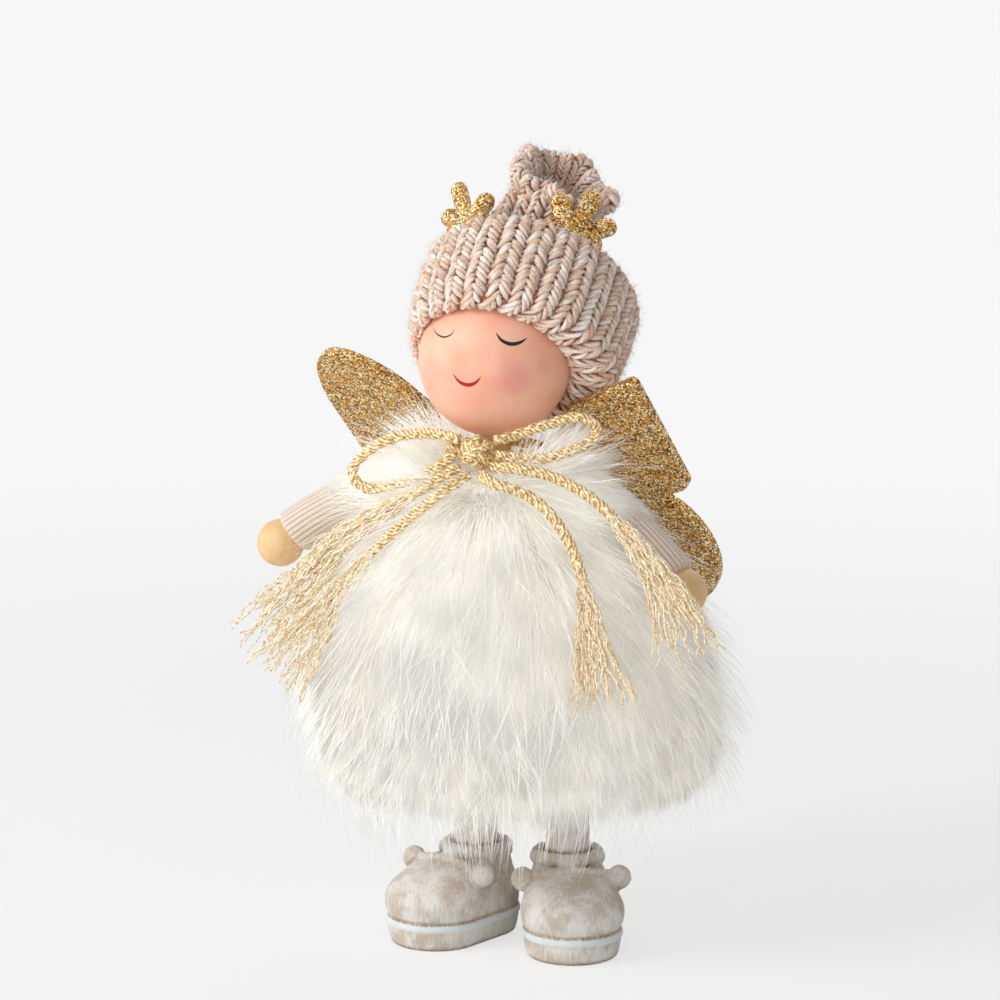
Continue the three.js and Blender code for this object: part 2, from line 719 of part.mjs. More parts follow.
// Cord. The points are places on the fur that the cord follows, from the knot outwards.
const knotAhead = neckRingRadius + cordRadius + clearance + knotRadius * 0.85;
const knotCentre = spot(neck.x + knotAside, neck.y - knotAhead, neck.z + knotRise);
const atKnot = (turn, ahead = 0) => {
  const reach = knotRadius + 3 * clearance;
  return spot(
    knotCentre.x + reach * Math.cos(degrees(turn)),
    knotCentre.y - ahead,
    knotCentre.z + reach * Math.sin(degrees(turn)),
  );
};
const fromNeck = (x, y, z) => spot(neck.x + x, neck.y + y, neck.z + z);
const routes = {
  right_bow_loop: [
    atKnot(148), fromNeck(-11, -16, 7.2), fromNeck(-21.5, -17, 5.5), fromNeck(-29.5, -18, -0.2),
    fromNeck(-30.4, -18.5, -4.6), fromNeck(-25, -19, -7), fromNeck(-15.5, -19.5, -4),
    fromNeck(-8.5, -19.5, -1), atKnot(186, 1),
  ],
  left_bow_loop: [
    atKnot(32), fromNeck(10, -13, 7.5), fromNeck(17, -10, 10), fromNeck(24.2, -8, 12),
    fromNeck(28.5, -6.5, 10), fromNeck(28, -7.5, 6.5), fromNeck(23.5, -11, 4), fromNeck(16, -13.5, 2),
    atKnot(-6, 1),
  ],
  right_outer_tail: [
    atKnot(222, 1.5), fromNeck(-9, -23, -4.5), fromNeck(-17.5, -23.5, -9.8), fromNeck(-26, -24, -15.2),
    fromNeck(-33, -24.3, -21), fromNeck(-39, -24.6, -28.4),
  ],
  right_inner_tail: [
    atKnot(256, 2.5), fromNeck(-4, -28, -5.4), fromNeck(-12, -27.5, -12), fromNeck(-19, -29, -18.5),
    fromNeck(-25.5, -30, -26), fromNeck(-31, -31, -34),
  ],
  left_inner_tail: [
    atKnot(-72, 2), fromNeck(8.5, -24.8, -2.6), fromNeck(15.5, -23.5, -4.7), fromNeck(22, -23.5, -8.8),
    fromNeck(27, -24, -14.8), fromNeck(30.5, -25, -21.4), fromNeck(33, -26.5, -28),
  ],
  left_outer_tail: [
    atKnot(-38, 1.5), fromNeck(13, -19.5, 0.4), fromNeck(22.4, -19, -1.4), fromNeck(32, -19.5, -5.8),
    fromNeck(40.4, -20.5, -12.6), fromNeck(46.8, -21.5, -19.5), fromNeck(51, -23, -25),
  ],
};
const frayEnds = {
  right_outer_tail: [fromNeck(-46.3, -25, -37), fromNeck(-55, -25.5, -48)],
  right_inner_tail: [fromNeck(-37, -32.2, -43), fromNeck(-44, -33.5, -53.5)],
  left_inner_tail: [fromNeck(37.2, -33, -38.5), fromNeck(42.3, -39.4, -53)],
  left_outer_tail: [fromNeck(56, -25.5, -32.5), fromNeck(59.5, -27, -41.5)],
};

function neckRing() {
  const section = [];
  for (let i = 0; i <= cordSides; i += 1) {
    const turn = (2 * Math.PI * i) / cordSides;
    section.push(flat(neckRingRadius + cordRadius * Math.cos(turn), cordRadius * Math.sin(turn)));
  }
  const height = neckHeight + clearance + cordRadius;
  return solidOf(revolve(section, 28).translate(neck.x, neck.y, height));
}

function bowKnot() {
  const lump = new THREE.SphereGeometry(knotRadius, 16, 10).scale(1, 0.85, 1);
  return solidOf(lump.translate(knotCentre.x, knotCentre.y, knotCentre.z));
}

// A fray swells from the cord and thins out to its tip.
function fray(name) {
  const tail = routes[name];
  const end = tail.at(-1);
  const curve = new THREE.CatmullRomCurve3([tail.at(-2), end, ...frayEnds[name]]);
  const lengths = curve.getLengths(120);
  const begin = (lengths[120 / (1 + frayEnds[name].length)] + 2 * clearance) / lengths.at(-1);
  const way = new THREE.CatmullRomCurve3([0, 0.25, 0.5, 0.75, 1].map(
    (part) => curve.getPointAt(THREE.MathUtils.lerp(begin, 1, part)),
  ));
  const swell = (along) => {
    const opened = (frayRadius - cordRadius) * Math.sin(Math.PI * Math.min(1, along * 1.1) * 0.6);
    return cordRadius + opened - (frayRadius - frayTip) * Math.max(0, along - 0.6) * 1.4;
  };
  return solidOf(taper(way, swell, 6, 10));
}

const gold = () => finish(0xb98d4f, 0.45, 0.6);
const glitter = () => finish(0xc79a55, 0.5, 0.7);
const knit = () => finish(0xcdb79f, 1);

const plateInHat = wingPlate(clearance).applyMatrix4(wingFrame.matrixWorld)
  .applyMatrix4(hatFrame.matrixWorld.clone().invert());
const bag = hatCrown().add(hatFold()).add(hatCuff()).add(hatTip());
hatFrame.add(
  piece('hat', cut(bag, plateInHat, antlerPocket(leftAntlerTurn), antlerPocket(rightAntlerTurn)), knit()),
  piece('hat_gather_thread', gatherThread(), finish(0xa98a78, 0.9)),
  piece('left_antler', join(...antler(leftAntlerTurn, 1)), glitter()),
  piece('right_antler', join(...antler(rightAntlerTurn, -1)), glitter()),
);
wingFrame.add(piece('wing_plate', solidOf(wingPlate()), glitter()));

const figure = new THREE.Group();
figure.add(
  ...[1, -1].flatMap((side) => [boot(side), leg(side)]),
  baseDisc(),
  bodyCore(),
  furDress(),
  neckPeg(),
  headBall(),
  ...arms.flatMap(armPieces),
  hatFrame,
  wingFrame,
  piece('wing_pad', wingPad(), finish(0xe9e2d2, 1)),
  piece('neck_cord', neckRing(), gold()),
);

// The origin is under the middle of the figure, on the surface that the boots stand on.
const box = new THREE.Box3().setFromObject(figure, true);
figure.position.set(-(box.min.x + box.max.x) / 2, -(box.min.y + box.max.y) / 2, 0);

figure.add(piece('bow_knot', bowKnot(), gold()));
for (const [name, points] of Object.entries(routes)) {
  const steps = name.endsWith('loop') ? 16 : 8;
  figure.add(piece(name, solidOf(cordTube(new THREE.CatmullRomCurve3(points), steps)), gold()));
}
for (const name of Object.keys(frayEnds)) {
  figure.add(piece(name.replace('tail', 'fray'), fray(name), finish(0xd9c08a, 0.4, 0.6)));
}

const angel = new THREE.Group();
angel.add(figure);
export default angel;
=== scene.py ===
"""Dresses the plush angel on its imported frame: fur, knit hat, painted face, cord, glitter and boots."""

import json
import math

import bmesh
import bpy
import numpy as np
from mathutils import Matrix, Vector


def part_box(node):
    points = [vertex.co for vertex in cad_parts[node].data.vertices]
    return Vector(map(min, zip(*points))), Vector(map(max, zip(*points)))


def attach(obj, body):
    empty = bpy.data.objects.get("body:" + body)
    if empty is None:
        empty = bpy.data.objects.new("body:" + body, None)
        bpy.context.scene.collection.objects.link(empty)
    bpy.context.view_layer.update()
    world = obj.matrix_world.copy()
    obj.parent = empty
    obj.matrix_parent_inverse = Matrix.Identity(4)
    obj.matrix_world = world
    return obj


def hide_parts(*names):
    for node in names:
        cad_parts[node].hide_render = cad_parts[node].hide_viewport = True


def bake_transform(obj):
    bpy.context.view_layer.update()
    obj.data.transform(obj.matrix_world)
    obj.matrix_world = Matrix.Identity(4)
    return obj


bl_info = {
    "name": "Plush Angel",
    "version": (1, 0, 0),
    "blender": (4, 5, 0),
    "location": "View3D > Sidebar > Angel",
    "description": "Builds the soft and painted pieces of a standing plush angel on its packed frame",
    "category": "Object",
}

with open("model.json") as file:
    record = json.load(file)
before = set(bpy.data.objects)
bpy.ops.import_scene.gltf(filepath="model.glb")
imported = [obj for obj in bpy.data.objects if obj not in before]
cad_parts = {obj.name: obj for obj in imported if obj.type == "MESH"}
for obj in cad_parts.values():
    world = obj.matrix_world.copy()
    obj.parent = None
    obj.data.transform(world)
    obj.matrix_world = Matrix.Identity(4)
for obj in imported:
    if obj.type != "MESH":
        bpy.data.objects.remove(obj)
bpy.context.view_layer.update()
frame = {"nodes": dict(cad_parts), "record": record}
MM = 0.001


def node_middle(name):
    """The middle of a frame node's box, in millimetres."""
    low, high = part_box(name)
    return (np.array(low) + np.array(high)) / 2 / MM


# Shapes are worked out in millimetres with the middle between the legs at the origin of the floor.
FEET = (node_middle("left_leg") + node_middle("right_leg")) / 2 * np.array([1, 1, 0])
LEG_X = (node_middle("left_leg") - node_middle("right_leg"))[0] / 2
LEAN = np.array([-5.0, -6.0])
LEAN_FROM = 45.3
LEAN_TO = 120.5
HEAD = np.array([*LEAN, 148.0])
HEAD_RADIUS = 19.0
NECK = np.array([*LEAN, 124.0])
UP = np.array([0, 0, 1.0])

# The dress's outline: radius and height from the hem to the neck.
BELL = np.array([[36, 36], [51, 54], [39, 92], [20.5, 120], [11, 124]], float)

# The sides of the body along X, and how far each arm hangs below level at rest, in degrees.
SIDES = {"left": 1, "right": -1}
ARM_DROOP = {"left": 34, "right": 24}
ARM_REACH = 37
ARM_ARCH = 7.0
ARM_YAW = math.radians(15)
BEAD_RADIUS = 6

# A boot's hull is drawn from a heel circle and a ball circle ahead of it; its welt lies between two heights.
HEEL_RADIUS = 11
BALL_RADIUS = 12.4
BALL_REACH = 14.5
WELT_FOOT = 4.9
WELT_TOP = 6.6


def paint(red, green, blue):
    """Screen colour values from 0 to 255 as a linear colour."""
    level = np.array([red, green, blue]) / 255
    linear = np.where(level <= 0.04045, level / 12.92, ((level + 0.055) / 1.055) ** 2.4)
    return tuple(float(value) for value in linear)


def row(points):
    """Millimetres from the middle between the feet as metres in the frame."""
    return (np.asarray(points, float) + FEET) * MM


def unit(vectors):
    """Vectors brought to length one."""
    return vectors / np.maximum(np.linalg.norm(vectors, axis=-1, keepdims=True), 1e-12)


def ease(value, low, high):
    """Smooth step: 0 below low, 1 above high, with level ends."""
    part = np.clip((value - low) / (high - low), 0, 1)
    return part * part * (3 - 2 * part)


def dome_of(part, least=0.0004):
    """Height of a dome at a part of its reach: the root of 1 - part^2, kept over a least square."""
    return np.sqrt(np.clip(1 - part**2, least, 1))


def turn_pair(first, second, angle):
    """Two coordinates turned by an angle in their plane."""
    c, s = math.cos(angle), math.sin(angle)
    return first * c - second * s, first * s + second * c


def lean(height):
    """Sideways shift of the body at each height: a smooth step from disc to neck times the full lean."""
    shift = ease(height, LEAN_FROM, LEAN_TO)[..., None] * LEAN
    return np.concatenate([shift, np.zeros_like(shift[..., :1])], axis=-1)


def through(points, steps):
    """A curve through points: a cubic on each span, its end slopes half the step across the neighbours."""
    points = np.asarray(points, float)
    padded = np.concatenate([[2 * points[0] - points[1]], points, [2 * points[-1] - points[-2]]])
    place = np.linspace(0, len(points) - 1, steps)
    span = np.minimum(place.astype(int), len(points) - 2)
    t = (place - span)[:, None]
    before, start, end, after = (padded[span + k] for k in range(4))
    slope_in, slope_out = (end - before) / 2, (after - start) / 2
    return (
        (2 * t**3 - 3 * t**2 + 1) * start
        + (t**3 - 2 * t**2 + t) * slope_in
        + (3 * t**2 - 2 * t**3) * end
        + (t**3 - t**2) * slope_out
    )


def along(points):
    """Distance along a row of points from its start."""
    return np.concatenate([[0], np.cumsum(np.linalg.norm(np.diff(points, axis=0), axis=1))])


def even(points, steps):
    """The same line with its points at even distances."""
    way = along(points)
    place = np.linspace(0, way[-1], steps)
    return np.stack([np.interp(place, way, points[:, k]) for k in range(points.shape[1])], axis=1)


def ring_faces(rows, cols, close_rows=False):
    """Quads of a grid whose columns close, and whose rows may, and their corners on a map from 0 to 1."""
    last = rows if close_rows else rows - 1
    r, c = np.meshgrid(np.arange(last), np.arange(cols), indexing="ij")
    r, c = r.ravel(), c.ravel()
    up, on = (r + 1) % rows, (c + 1) % cols
    faces = np.stack([r * cols + c, r * cols + on, up * cols + on, up * cols + c], axis=1)
    corners = np.stack(
        [np.stack([c, r], 1), np.stack([c + 1, r], 1), np.stack([c + 1, r + 1], 1), np.stack([c, r + 1], 1)],
        axis=1,
    )
    return faces, corners / np.array([cols, max(rows - 1, 1)])


def end_caps(rows, cols):
    """One many-sided face over the first ring and one over the last."""
    first = np.arange(cols)[::-1]
    return np.stack([first, (rows - 1) * cols + np.arange(cols)])


def repeat_faces(faces, count, size):
    """The faces of one small shape repeated for a number of copies with that many points each."""
    return (faces[None] + (np.arange(count) * size)[:, None, None]).reshape(-1, faces.shape[1])


def volume_of(points, faces):
    """Signed volume: the sum of each face's fan of corner triple products, over six."""
    total = 0.0
    for k in range(1, faces.shape[1] - 1):
        a, b, c = points[faces[:, 0]], points[faces[:, k]], points[faces[:, k + 1]]
        total += np.einsum("ij,ij->i", a, np.cross(b, c)).sum()
    return total / 6


def make_piece(name, points, face_sets, finish, body, stands_for=(), uv=None, marks=None, weld=False):
    """Puts points and faces, turned outwards, into a mesh that rides on a body if one is named."""
    points = row(points.reshape(-1, 3))
    middle = points.mean(0)
    if sum(volume_of(points - middle, faces) for faces in face_sets) < 0:
        face_sets = [faces[:, ::-1] for faces in face_sets]
        uv = None if uv is None else uv[:, ::-1]
    corners = np.concatenate([faces.ravel() for faces in face_sets]).astype(np.int32)
    sizes = np.concatenate([np.full(len(faces), faces.shape[1]) for faces in face_sets])
    mesh = bpy.data.meshes.new(name)
    mesh.vertices.add(len(points))
    mesh.vertices.foreach_set("co", points.astype(np.float32).ravel())
    mesh.loops.add(len(corners))
    mesh.polygons.add(len(sizes))
    mesh.polygons.foreach_set("loop_start", np.concatenate([[0], np.cumsum(sizes)[:-1]]).astype(np.int32))
    mesh.polygons.foreach_set("vertices", corners)
    mesh.polygons.foreach_set("use_smooth", np.ones(len(sizes), bool))
    if uv is not None:
        flat = np.zeros((len(corners), 2), np.float32)
        flat[: uv.shape[0] * uv.shape[1]] = uv.reshape(-1, 2)
        mesh.uv_layers.new(name="weave").data.foreach_set("uv", flat.ravel())
    for mark, values in (marks or {}).items():
        layer = mesh.attributes.new(mark, "FLOAT", "POINT")
        layer.data.foreach_set("value", np.asarray(values, np.float32).ravel())
    mesh.update(calc_edges=True)
    if weld:
        work = bmesh.new()
        work.from_mesh(mesh)
        bmesh.ops.remove_doubles(work, verts=work.verts, dist=1e-6)
        bmesh.ops.dissolve_degenerate(work, edges=work.edges, dist=1e-7)
        bmesh.ops.recalc_face_normals(work, faces=work.faces)
        work.to_mesh(mesh)
        work.free()
    mesh.materials.append(finish)
    piece = bpy.data.objects.new(name, mesh)
    bpy.context.scene.collection.objects.link(piece)
    if body:
        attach(piece, body)
    if stands_for:
        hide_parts(*stands_for)
    return piece


def turned(profile, sides):
    """A profile of radius and height carried round Z: (r cos a, r sin a, h)."""
    turn = np.arange(sides) * 2 * math.pi / sides
    radius, height = profile[:, :1], np.repeat(profile[:, 1:], sides, axis=1)
    return np.stack([radius * np.cos(turn), radius * np.sin(turn), height], axis=-1)


def rings(centre, across, out, wide, deep, sides):
    """Rings round places on lines: centre + cos a * wide * across + sin a * deep * out at even angles a."""
    turn = np.arange(sides) * 2 * math.pi / sides
    return (
        centre[..., None, :]
        + across[..., None, :] * (wide * np.cos(turn))[..., None]
        + out[..., None, :] * (deep * np.sin(turn))[..., None]
    )


def tubes(centre, across, out, wide, deep, sides):
    """Tubes made of rings round centre lines, each closed at both ends."""
    count, steps = centre.shape[:2]
    points = rings(centre, across, out, wide[..., None], deep[..., None], sides)
    faces, corners = ring_faces(steps, sides)
    sets = [repeat_faces(group, count, steps * sides) for group in (faces, end_caps(steps, sides))]
    return points.reshape(-1, 3), sets, np.tile(corners, (count, 1, 1))


def sweep_frame(centre, reference):
    """Directions along, across and out of lines, the last two square to the line and near a reference."""
    way = unit(np.gradient(centre, axis=-2))
    across = unit(np.cross(way, np.broadcast_to(reference, way.shape)))
    return way, across, np.cross(across, way)


class Wire:
    """A shader socket that works like a number: each operator adds one Math node."""

    def __init__(self, sheet, socket):
        self.sheet = sheet
        self.socket = socket

    def math(self, operation, *inputs):
        """A Math node of that operation with these inputs."""
        node = self.sheet.node("ShaderNodeMath", {"operation": operation}, dict(enumerate(inputs)))
        return Wire(self.sheet, node.outputs[0])

    def __add__(self, other):
        return self.math("ADD", self, other)

    def __sub__(self, other):
        return self.math("SUBTRACT", self, other)

    def __rsub__(self, other):
        return self.math("SUBTRACT", other, self)

    def __mul__(self, other):
        return self.math("MULTIPLY", self, other)

    __radd__ = __add__
    __rmul__ = __mul__

    def step(self, low, high):
        """Smooth step from 0 at low to 1 at high."""
        settings = {"interpolation_type": "SMOOTHSTEP"}
        node = self.sheet.node("ShaderNodeMapRange", settings, {0: self, 1: low, 2: high, 3: 0.0, 4: 1.0})
        return Wire(self.sheet, node.outputs[0])


class Sheet:
    """The node tree of one finish, or of the world."""

    def __init__(self, name, world=False):
        self.material = (bpy.data.worlds if world else bpy.data.materials).new(name)
        self.material.use_nodes = True
        self.tree = self.material.node_tree
        self.tree.nodes.clear()

    def node(self, kind, settings=None, inputs=None):
        """A node of that type, its settings first and then the values or links of its sockets."""
        node = self.tree.nodes.new(kind)
        for key, value in (settings or {}).items():
            setattr(node, key, value)
        for key, value in (inputs or {}).items():
            if isinstance(value, Wire):
                self.tree.links.new(value.socket, node.inputs[key])
            else:
                node.inputs[key].default_value = value
        return node

    def wire(self, node, output=0):
        """One output of a node."""
        return Wire(self, node.outputs[output])

    def place(self, stretch=(1, 1, 1)):
        """Object coordinates in millimetres, stretched along the axes."""
        coordinates = self.wire(self.node("ShaderNodeTexCoord"), "Object")
        scale = tuple(value / MM for value in stretch)
        return self.wire(self.node("ShaderNodeMapping", None, {"Vector": coordinates, "Scale": scale}))

    def noise(self, scale, detail=2.0, stretch=(1, 1, 1), rough=0.5):
        """Noise of that many waves per millimetre."""
        inputs = {"Vector": self.place(stretch), "Scale": scale, "Detail": detail, "Roughness": rough}
        return self.wire(self.node("ShaderNodeTexNoise", None, inputs))

    def seen(self):
        """1 for rays that show the background as it is: straight, reflected or through glass."""
        path = self.node("ShaderNodeLightPath")
        rays = ("Is Camera Ray", "Is Glossy Ray", "Is Transmission Ray")
        camera, glossy, through_glass = (self.wire(path, ray) for ray in rays)
        return camera + glossy + through_glass

    def mark(self, name):
        """A number that the piece carries on its points."""
        return self.wire(self.node("ShaderNodeAttribute", {"attribute_name": name}), "Fac")

    def axis(self, index):
        """One of the piece's own coordinates in millimetres."""
        return self.wire(self.node("ShaderNodeSeparateXYZ", None, {0: self.place()}), index)

    def weave(self, index):
        """One of the two numbers of the piece's own map."""
        uv = self.wire(self.node("ShaderNodeUVMap", {"uv_map": "weave"}))
        return self.wire(self.node("ShaderNodeSeparateXYZ", None, {0: uv}), index)

    def blend(self, factor, first, second):
        """A colour between two, or colours and wires mixed."""
        node = self.node("ShaderNodeMix", {"data_type": "RGBA"})
        for index, value in ((0, factor), (6, first), (7, second)):
            if isinstance(value, Wire):
                self.tree.links.new(value.socket, node.inputs[index])
            else:
                node.inputs[index].default_value = value if index == 0 else (*value[:3], 1.0)
        return self.wire(node, 2)

    def relief(self, height, depth, distance=0.1):
        """A normal bent by a height, distance in millimetres."""
        inputs = {"Height": height, "Strength": depth, "Distance": distance * MM}
        return self.wire(self.node("ShaderNodeBump", None, inputs))

    def done(self, colour, roughness, normal=None, **constants):
        """Joins the colour, roughness and normal to the surface and returns the finish."""
        base = colour if isinstance(colour, Wire) else (*colour[:3], 1.0)
        inputs = {"Base Color": base, "Roughness": roughness}
        if normal is not None:
            inputs["Normal"] = normal
        inputs.update({key.replace("_", " "): value for key, value in constants.items()})
        surface = self.node("ShaderNodeBsdfPrincipled", None, inputs)
        self.node("ShaderNodeOutputMaterial", None, {"Surface": self.wire(surface)})
        return self.material


def fur_finish(pile):
    """Ivory hairs with a painted glow, their own colour given off as light in place of light passing through
    them: a little warmer at the root, each with its own tint, which on the pile also carries painted shade
    towards the sides.
    """
    sheet = Sheet("ivory_pile")
    tint = sheet.mark("tint")
    rise = sheet.mark("rise")
    hair = sheet.blend(tint, pile.light, pile.warm)
    colour = sheet.blend(rise.step(-0.2, 0.5), pile.root, hair)
    # Painted glow: the emission lights the hairs with their own colour, standing in for light that passes
    # through them.
    return sheet.done(
        colour, 0.55, Specular_IOR_Level=0.3, Sheen_Weight=0.1,
        Emission_Color=colour, Emission_Strength=pile.glow,
    )


def backing_finish(pile):
    """The cloth that the pile stands on: cream with a fine mottle."""
    sheet = Sheet("pile_backing")
    colour = sheet.blend(sheet.noise(0.8), pile.root, pile.light)
    return sheet.done(colour, 0.95, sheet.relief(sheet.noise(2.5, 4.0), 0.5, 0.4), Specular_IOR_Level=0.1)


def knit_finish(name, light, mid, dark, scale):
    """Marled yarn: each stitch has its own tint, plies of light and brown wind along it, fibres fleck it, and
    painted shade darkens the low ends of the stitches.
    """
    sheet = Sheet(name)
    tint = sheet.mark("tint")
    wind = (sheet.weave(1) * 0.5 + sheet.weave(0) * 2.0 + tint * 3.0) * (2 * math.pi)
    ply = wind.math("SINE", wind) * 0.5 + 0.5
    fleck = sheet.noise(scale, 4.0, rough=0.75)
    yarn = sheet.blend(tint, light, mid)
    yarn = sheet.blend((ply * 0.25 + fleck).step(0.56, 0.88) * 0.65, yarn, dark)
    fibre = sheet.noise(scale * 1.7, 3.0)
    yarn = sheet.blend(fibre.step(0.55, 0.7) * 0.55, yarn, light)
    yarn = sheet.blend((1 - fibre.step(0.3, 0.45)) * 0.55, yarn, dark)
    # Painted shade: where each stitch dips low under its neighbours it takes the dark colour.
    colour = sheet.blend(sheet.mark("rise").step(-0.2, 0.6), dark, yarn)
    height = ply * 0.3 + fleck * 1.4 + fibre * 1.4
    return sheet.done(colour, 0.95, sheet.relief(height, 0.3, 0.15), Sheen_Weight=0.1, Specular_IOR_Level=0.1)


def glitter_finish(name, dark, mid, bright):
    """Glitter: cells about 0.4 mm wide, each with its own slant and a colour drawn at random, gold, dark
    brown as painted shade or near white as painted glints.
    """
    flakes_per_mm = 2.5
    flake_slant = 0.9
    sheet = Sheet(name)
    flakes = sheet.node("ShaderNodeTexVoronoi", None, {"Vector": sheet.place(), "Scale": flakes_per_mm})
    drawn = sheet.wire(flakes, "Color")
    chance = sheet.wire(sheet.node("ShaderNodeSeparateColor", None, {0: drawn}))
    # Flakes drawn dark brown are painted shade and flakes drawn near white painted glints; the rest are gold.
    gold = sheet.blend(chance.step(0.16, 0.42), dark, mid)
    colour = sheet.blend(chance.step(0.76, 0.82), gold, bright)

    def vector(operation, *inputs, **named):
        joined = dict(enumerate(inputs)) | named
        return sheet.wire(sheet.node("ShaderNodeVectorMath", {"operation": operation}, joined))

    slant = vector("SCALE", vector("SUBTRACT", drawn, (0.5, 0.5, 0.5)), Scale=flake_slant)
    facing = sheet.wire(sheet.node("ShaderNodeNewGeometry"), "Normal")
    normal = vector("NORMALIZE", vector("ADD", facing, slant))
    return sheet.done(colour, 0.34, normal, Metallic=0.45)


def cord_finish(name, dark, mid, bright, glow):
    """Metallic thread: fine strands wound slantwise, painted shade in the valleys between them and painted
    glints on their crests, and a faint painted glow.
    """
    sheet = Sheet(name)
    wind = (sheet.weave(1) * sheet.mark("wound") + sheet.weave(0) * 3.0) * (2 * math.pi)
    strand = wind.math("SINE", wind) * 0.5 + 0.5
    fleck = sheet.noise(1.4, 2.0)
    # Partly a random mottle, partly painted shade: the valleys between the wound strands take the dark
    # colour.
    gold = sheet.blend((strand * 0.5 + fleck).step(0.3, 0.85), dark, mid)
    gold = sheet.blend(sheet.mark("tint") * 0.45, gold, bright)
    # Painted glints: the crests of the strands take the bright colour.
    colour = sheet.blend((strand * 0.3 + fleck).step(0.6, 0.76), gold, bright)
    # Painted glow: the emission lifts the thread with its own colour.
    return sheet.done(
        colour, 0.4, sheet.relief(strand, 0.6, 0.16), Metallic=0.15,
        Emission_Color=colour, Emission_Strength=glow,
    )


def skin_finish(face):
    """Peach paint, mottled with a warmer one, and two round patches of blush with a speckled rim."""
    cheeks = ((34.1, -5.9, 0.5), (-35.9, -4.1, 0.22))
    sheet = Sheet("peach_paint")
    mottle = sheet.noise(0.12, 2.0)
    colour = sheet.blend(mottle.step(0.35, 0.7), face.skin, face.shade)
    place = sheet.place()
    for longitude, latitude, depth in cheeks:
        spot = tuple(float(value) for value in row(on_head(longitude, latitude)) / MM)
        away = sheet.node("ShaderNodeVectorMath", {"operation": "DISTANCE"}, {0: place, 1: spot})
        reach = sheet.wire(away, "Value") + (sheet.noise(3.0, 3.0) - 0.5) * 2.0
        colour = sheet.blend((1 - reach.step(1.5, 6.2)) * depth, colour, face.blush)
    return sheet.done(
        colour, 0.48, sheet.relief(sheet.noise(1.6, 3.0), 0.12, 0.2), Specular_IOR_Level=0.4,
        Subsurface_Weight=0.4, Subsurface_Radius=(1.0, 0.22, 0.08), Subsurface_Scale=4 * MM,
    )


def wood_finish(name, pale, dark, stretch):
    """Bare wood: long grain lines and fine pores."""
    sheet = Sheet(name)
    grain = sheet.noise(0.55, 5.0, stretch, 0.6)
    pores = sheet.noise(3.5, 3.0, stretch)
    colour = sheet.blend((grain * 0.7 + pores * 0.3).step(0.32, 0.72), pale, dark)
    return sheet.done(colour, 0.5, sheet.relief(pores, 0.2, 0.15), Specular_IOR_Level=0.4)


def wash_finish(name, wash, white, brown, welt):
    """Whitewash over brown: upright brush streaks, brown in the hollows, and a pale welt if there is one."""
    sheet = Sheet(name)
    streak = sheet.noise(1.5, 5.0, (1.0, 0.7, 0.22), 0.7)
    patch = sheet.noise(0.16, 3.0)
    speck = sheet.noise(1.7, 4.0, rough=0.7)
    colour = sheet.blend((streak * 0.5 + patch * 0.6).step(0.42, 0.68), wash, white)
    hollow = sheet.node("ShaderNodeAmbientOcclusion", {"samples": 8}, {"Distance": 2.2 * MM})
    open_part = sheet.wire(hollow, "AO")
    colour = sheet.blend((1 - open_part.step(0.35, 0.85)) * speck.step(0.3, 0.62), colour, brown)
    colour = sheet.blend((speck * streak).step(0.36, 0.52) * 0.35, colour, brown)
    if welt:
        height = sheet.axis(2) + (speck - 0.5) * 0.7
        over_crease = height.step(WELT_TOP + 0.7, WELT_TOP + 1.6)
        crease = height.step(WELT_TOP + 0.1, WELT_TOP + 0.4) * (1 - over_crease)
        colour = sheet.blend(crease * speck.step(0.3, 0.6) * 0.8, colour, brown)
        band = height.step(WELT_FOOT, WELT_FOOT + 0.4) * (1 - height.step(WELT_TOP, WELT_TOP + 0.4))
        colour = sheet.blend(band * 0.8, colour, paint(218, 226, 232))
    return sheet.done(colour, 0.72, sheet.relief(streak + speck * 0.8, 0.35, 0.3), Specular_IOR_Level=0.3)


def plain_finish(name, colour, shade, roughness, scale=1.2):
    """Paint or felt: one colour with a mottle and a fine relief."""
    sheet = Sheet(name)
    tone = sheet.blend(sheet.noise(scale, 3.0), colour, shade)
    grain = sheet.relief(sheet.noise(scale * 3, 3.0), 0.3, 0.2)
    return sheet.done(tone, roughness, grain, Specular_IOR_Level=0.3)


class AngelPile(bpy.types.PropertyGroup):
    """Fur dress."""

    count: bpy.props.IntProperty(name="Hairs", description="Hairs of the pile", default=72000, min=2000)
    length: bpy.props.FloatProperty(
        name="Length", description="Length of the longest hairs", default=0.036, unit="LENGTH"
    )
    width: bpy.props.FloatProperty(
        name="Width", description="Width of a hair at its root", default=0.00021, unit="LENGTH", precision=5
    )
    light: bpy.props.FloatVectorProperty(
        name="Light", description="Colour of most hairs", subtype="COLOR", default=paint(253, 252, 248)
    )
    # The warm colour is the creamier hairs' own colour and also painted shade on the sides of the pile.
    warm: bpy.props.FloatVectorProperty(
        name="Warm", description="Colour of the creamier hairs", subtype="COLOR", default=paint(246, 240, 227)
    )
    root: bpy.props.FloatVectorProperty(
        name="Root", description="Colour near the backing", subtype="COLOR", default=paint(238, 231, 219)
    )
    # Glow is a painted glow: the share of the hairs' colour that they give off as light, standing in for
    # light passing through them.
    glow: bpy.props.FloatProperty(
        name="Glow", description="Light that passes through the hairs, as a share of their colour",
        default=0.2,
    )


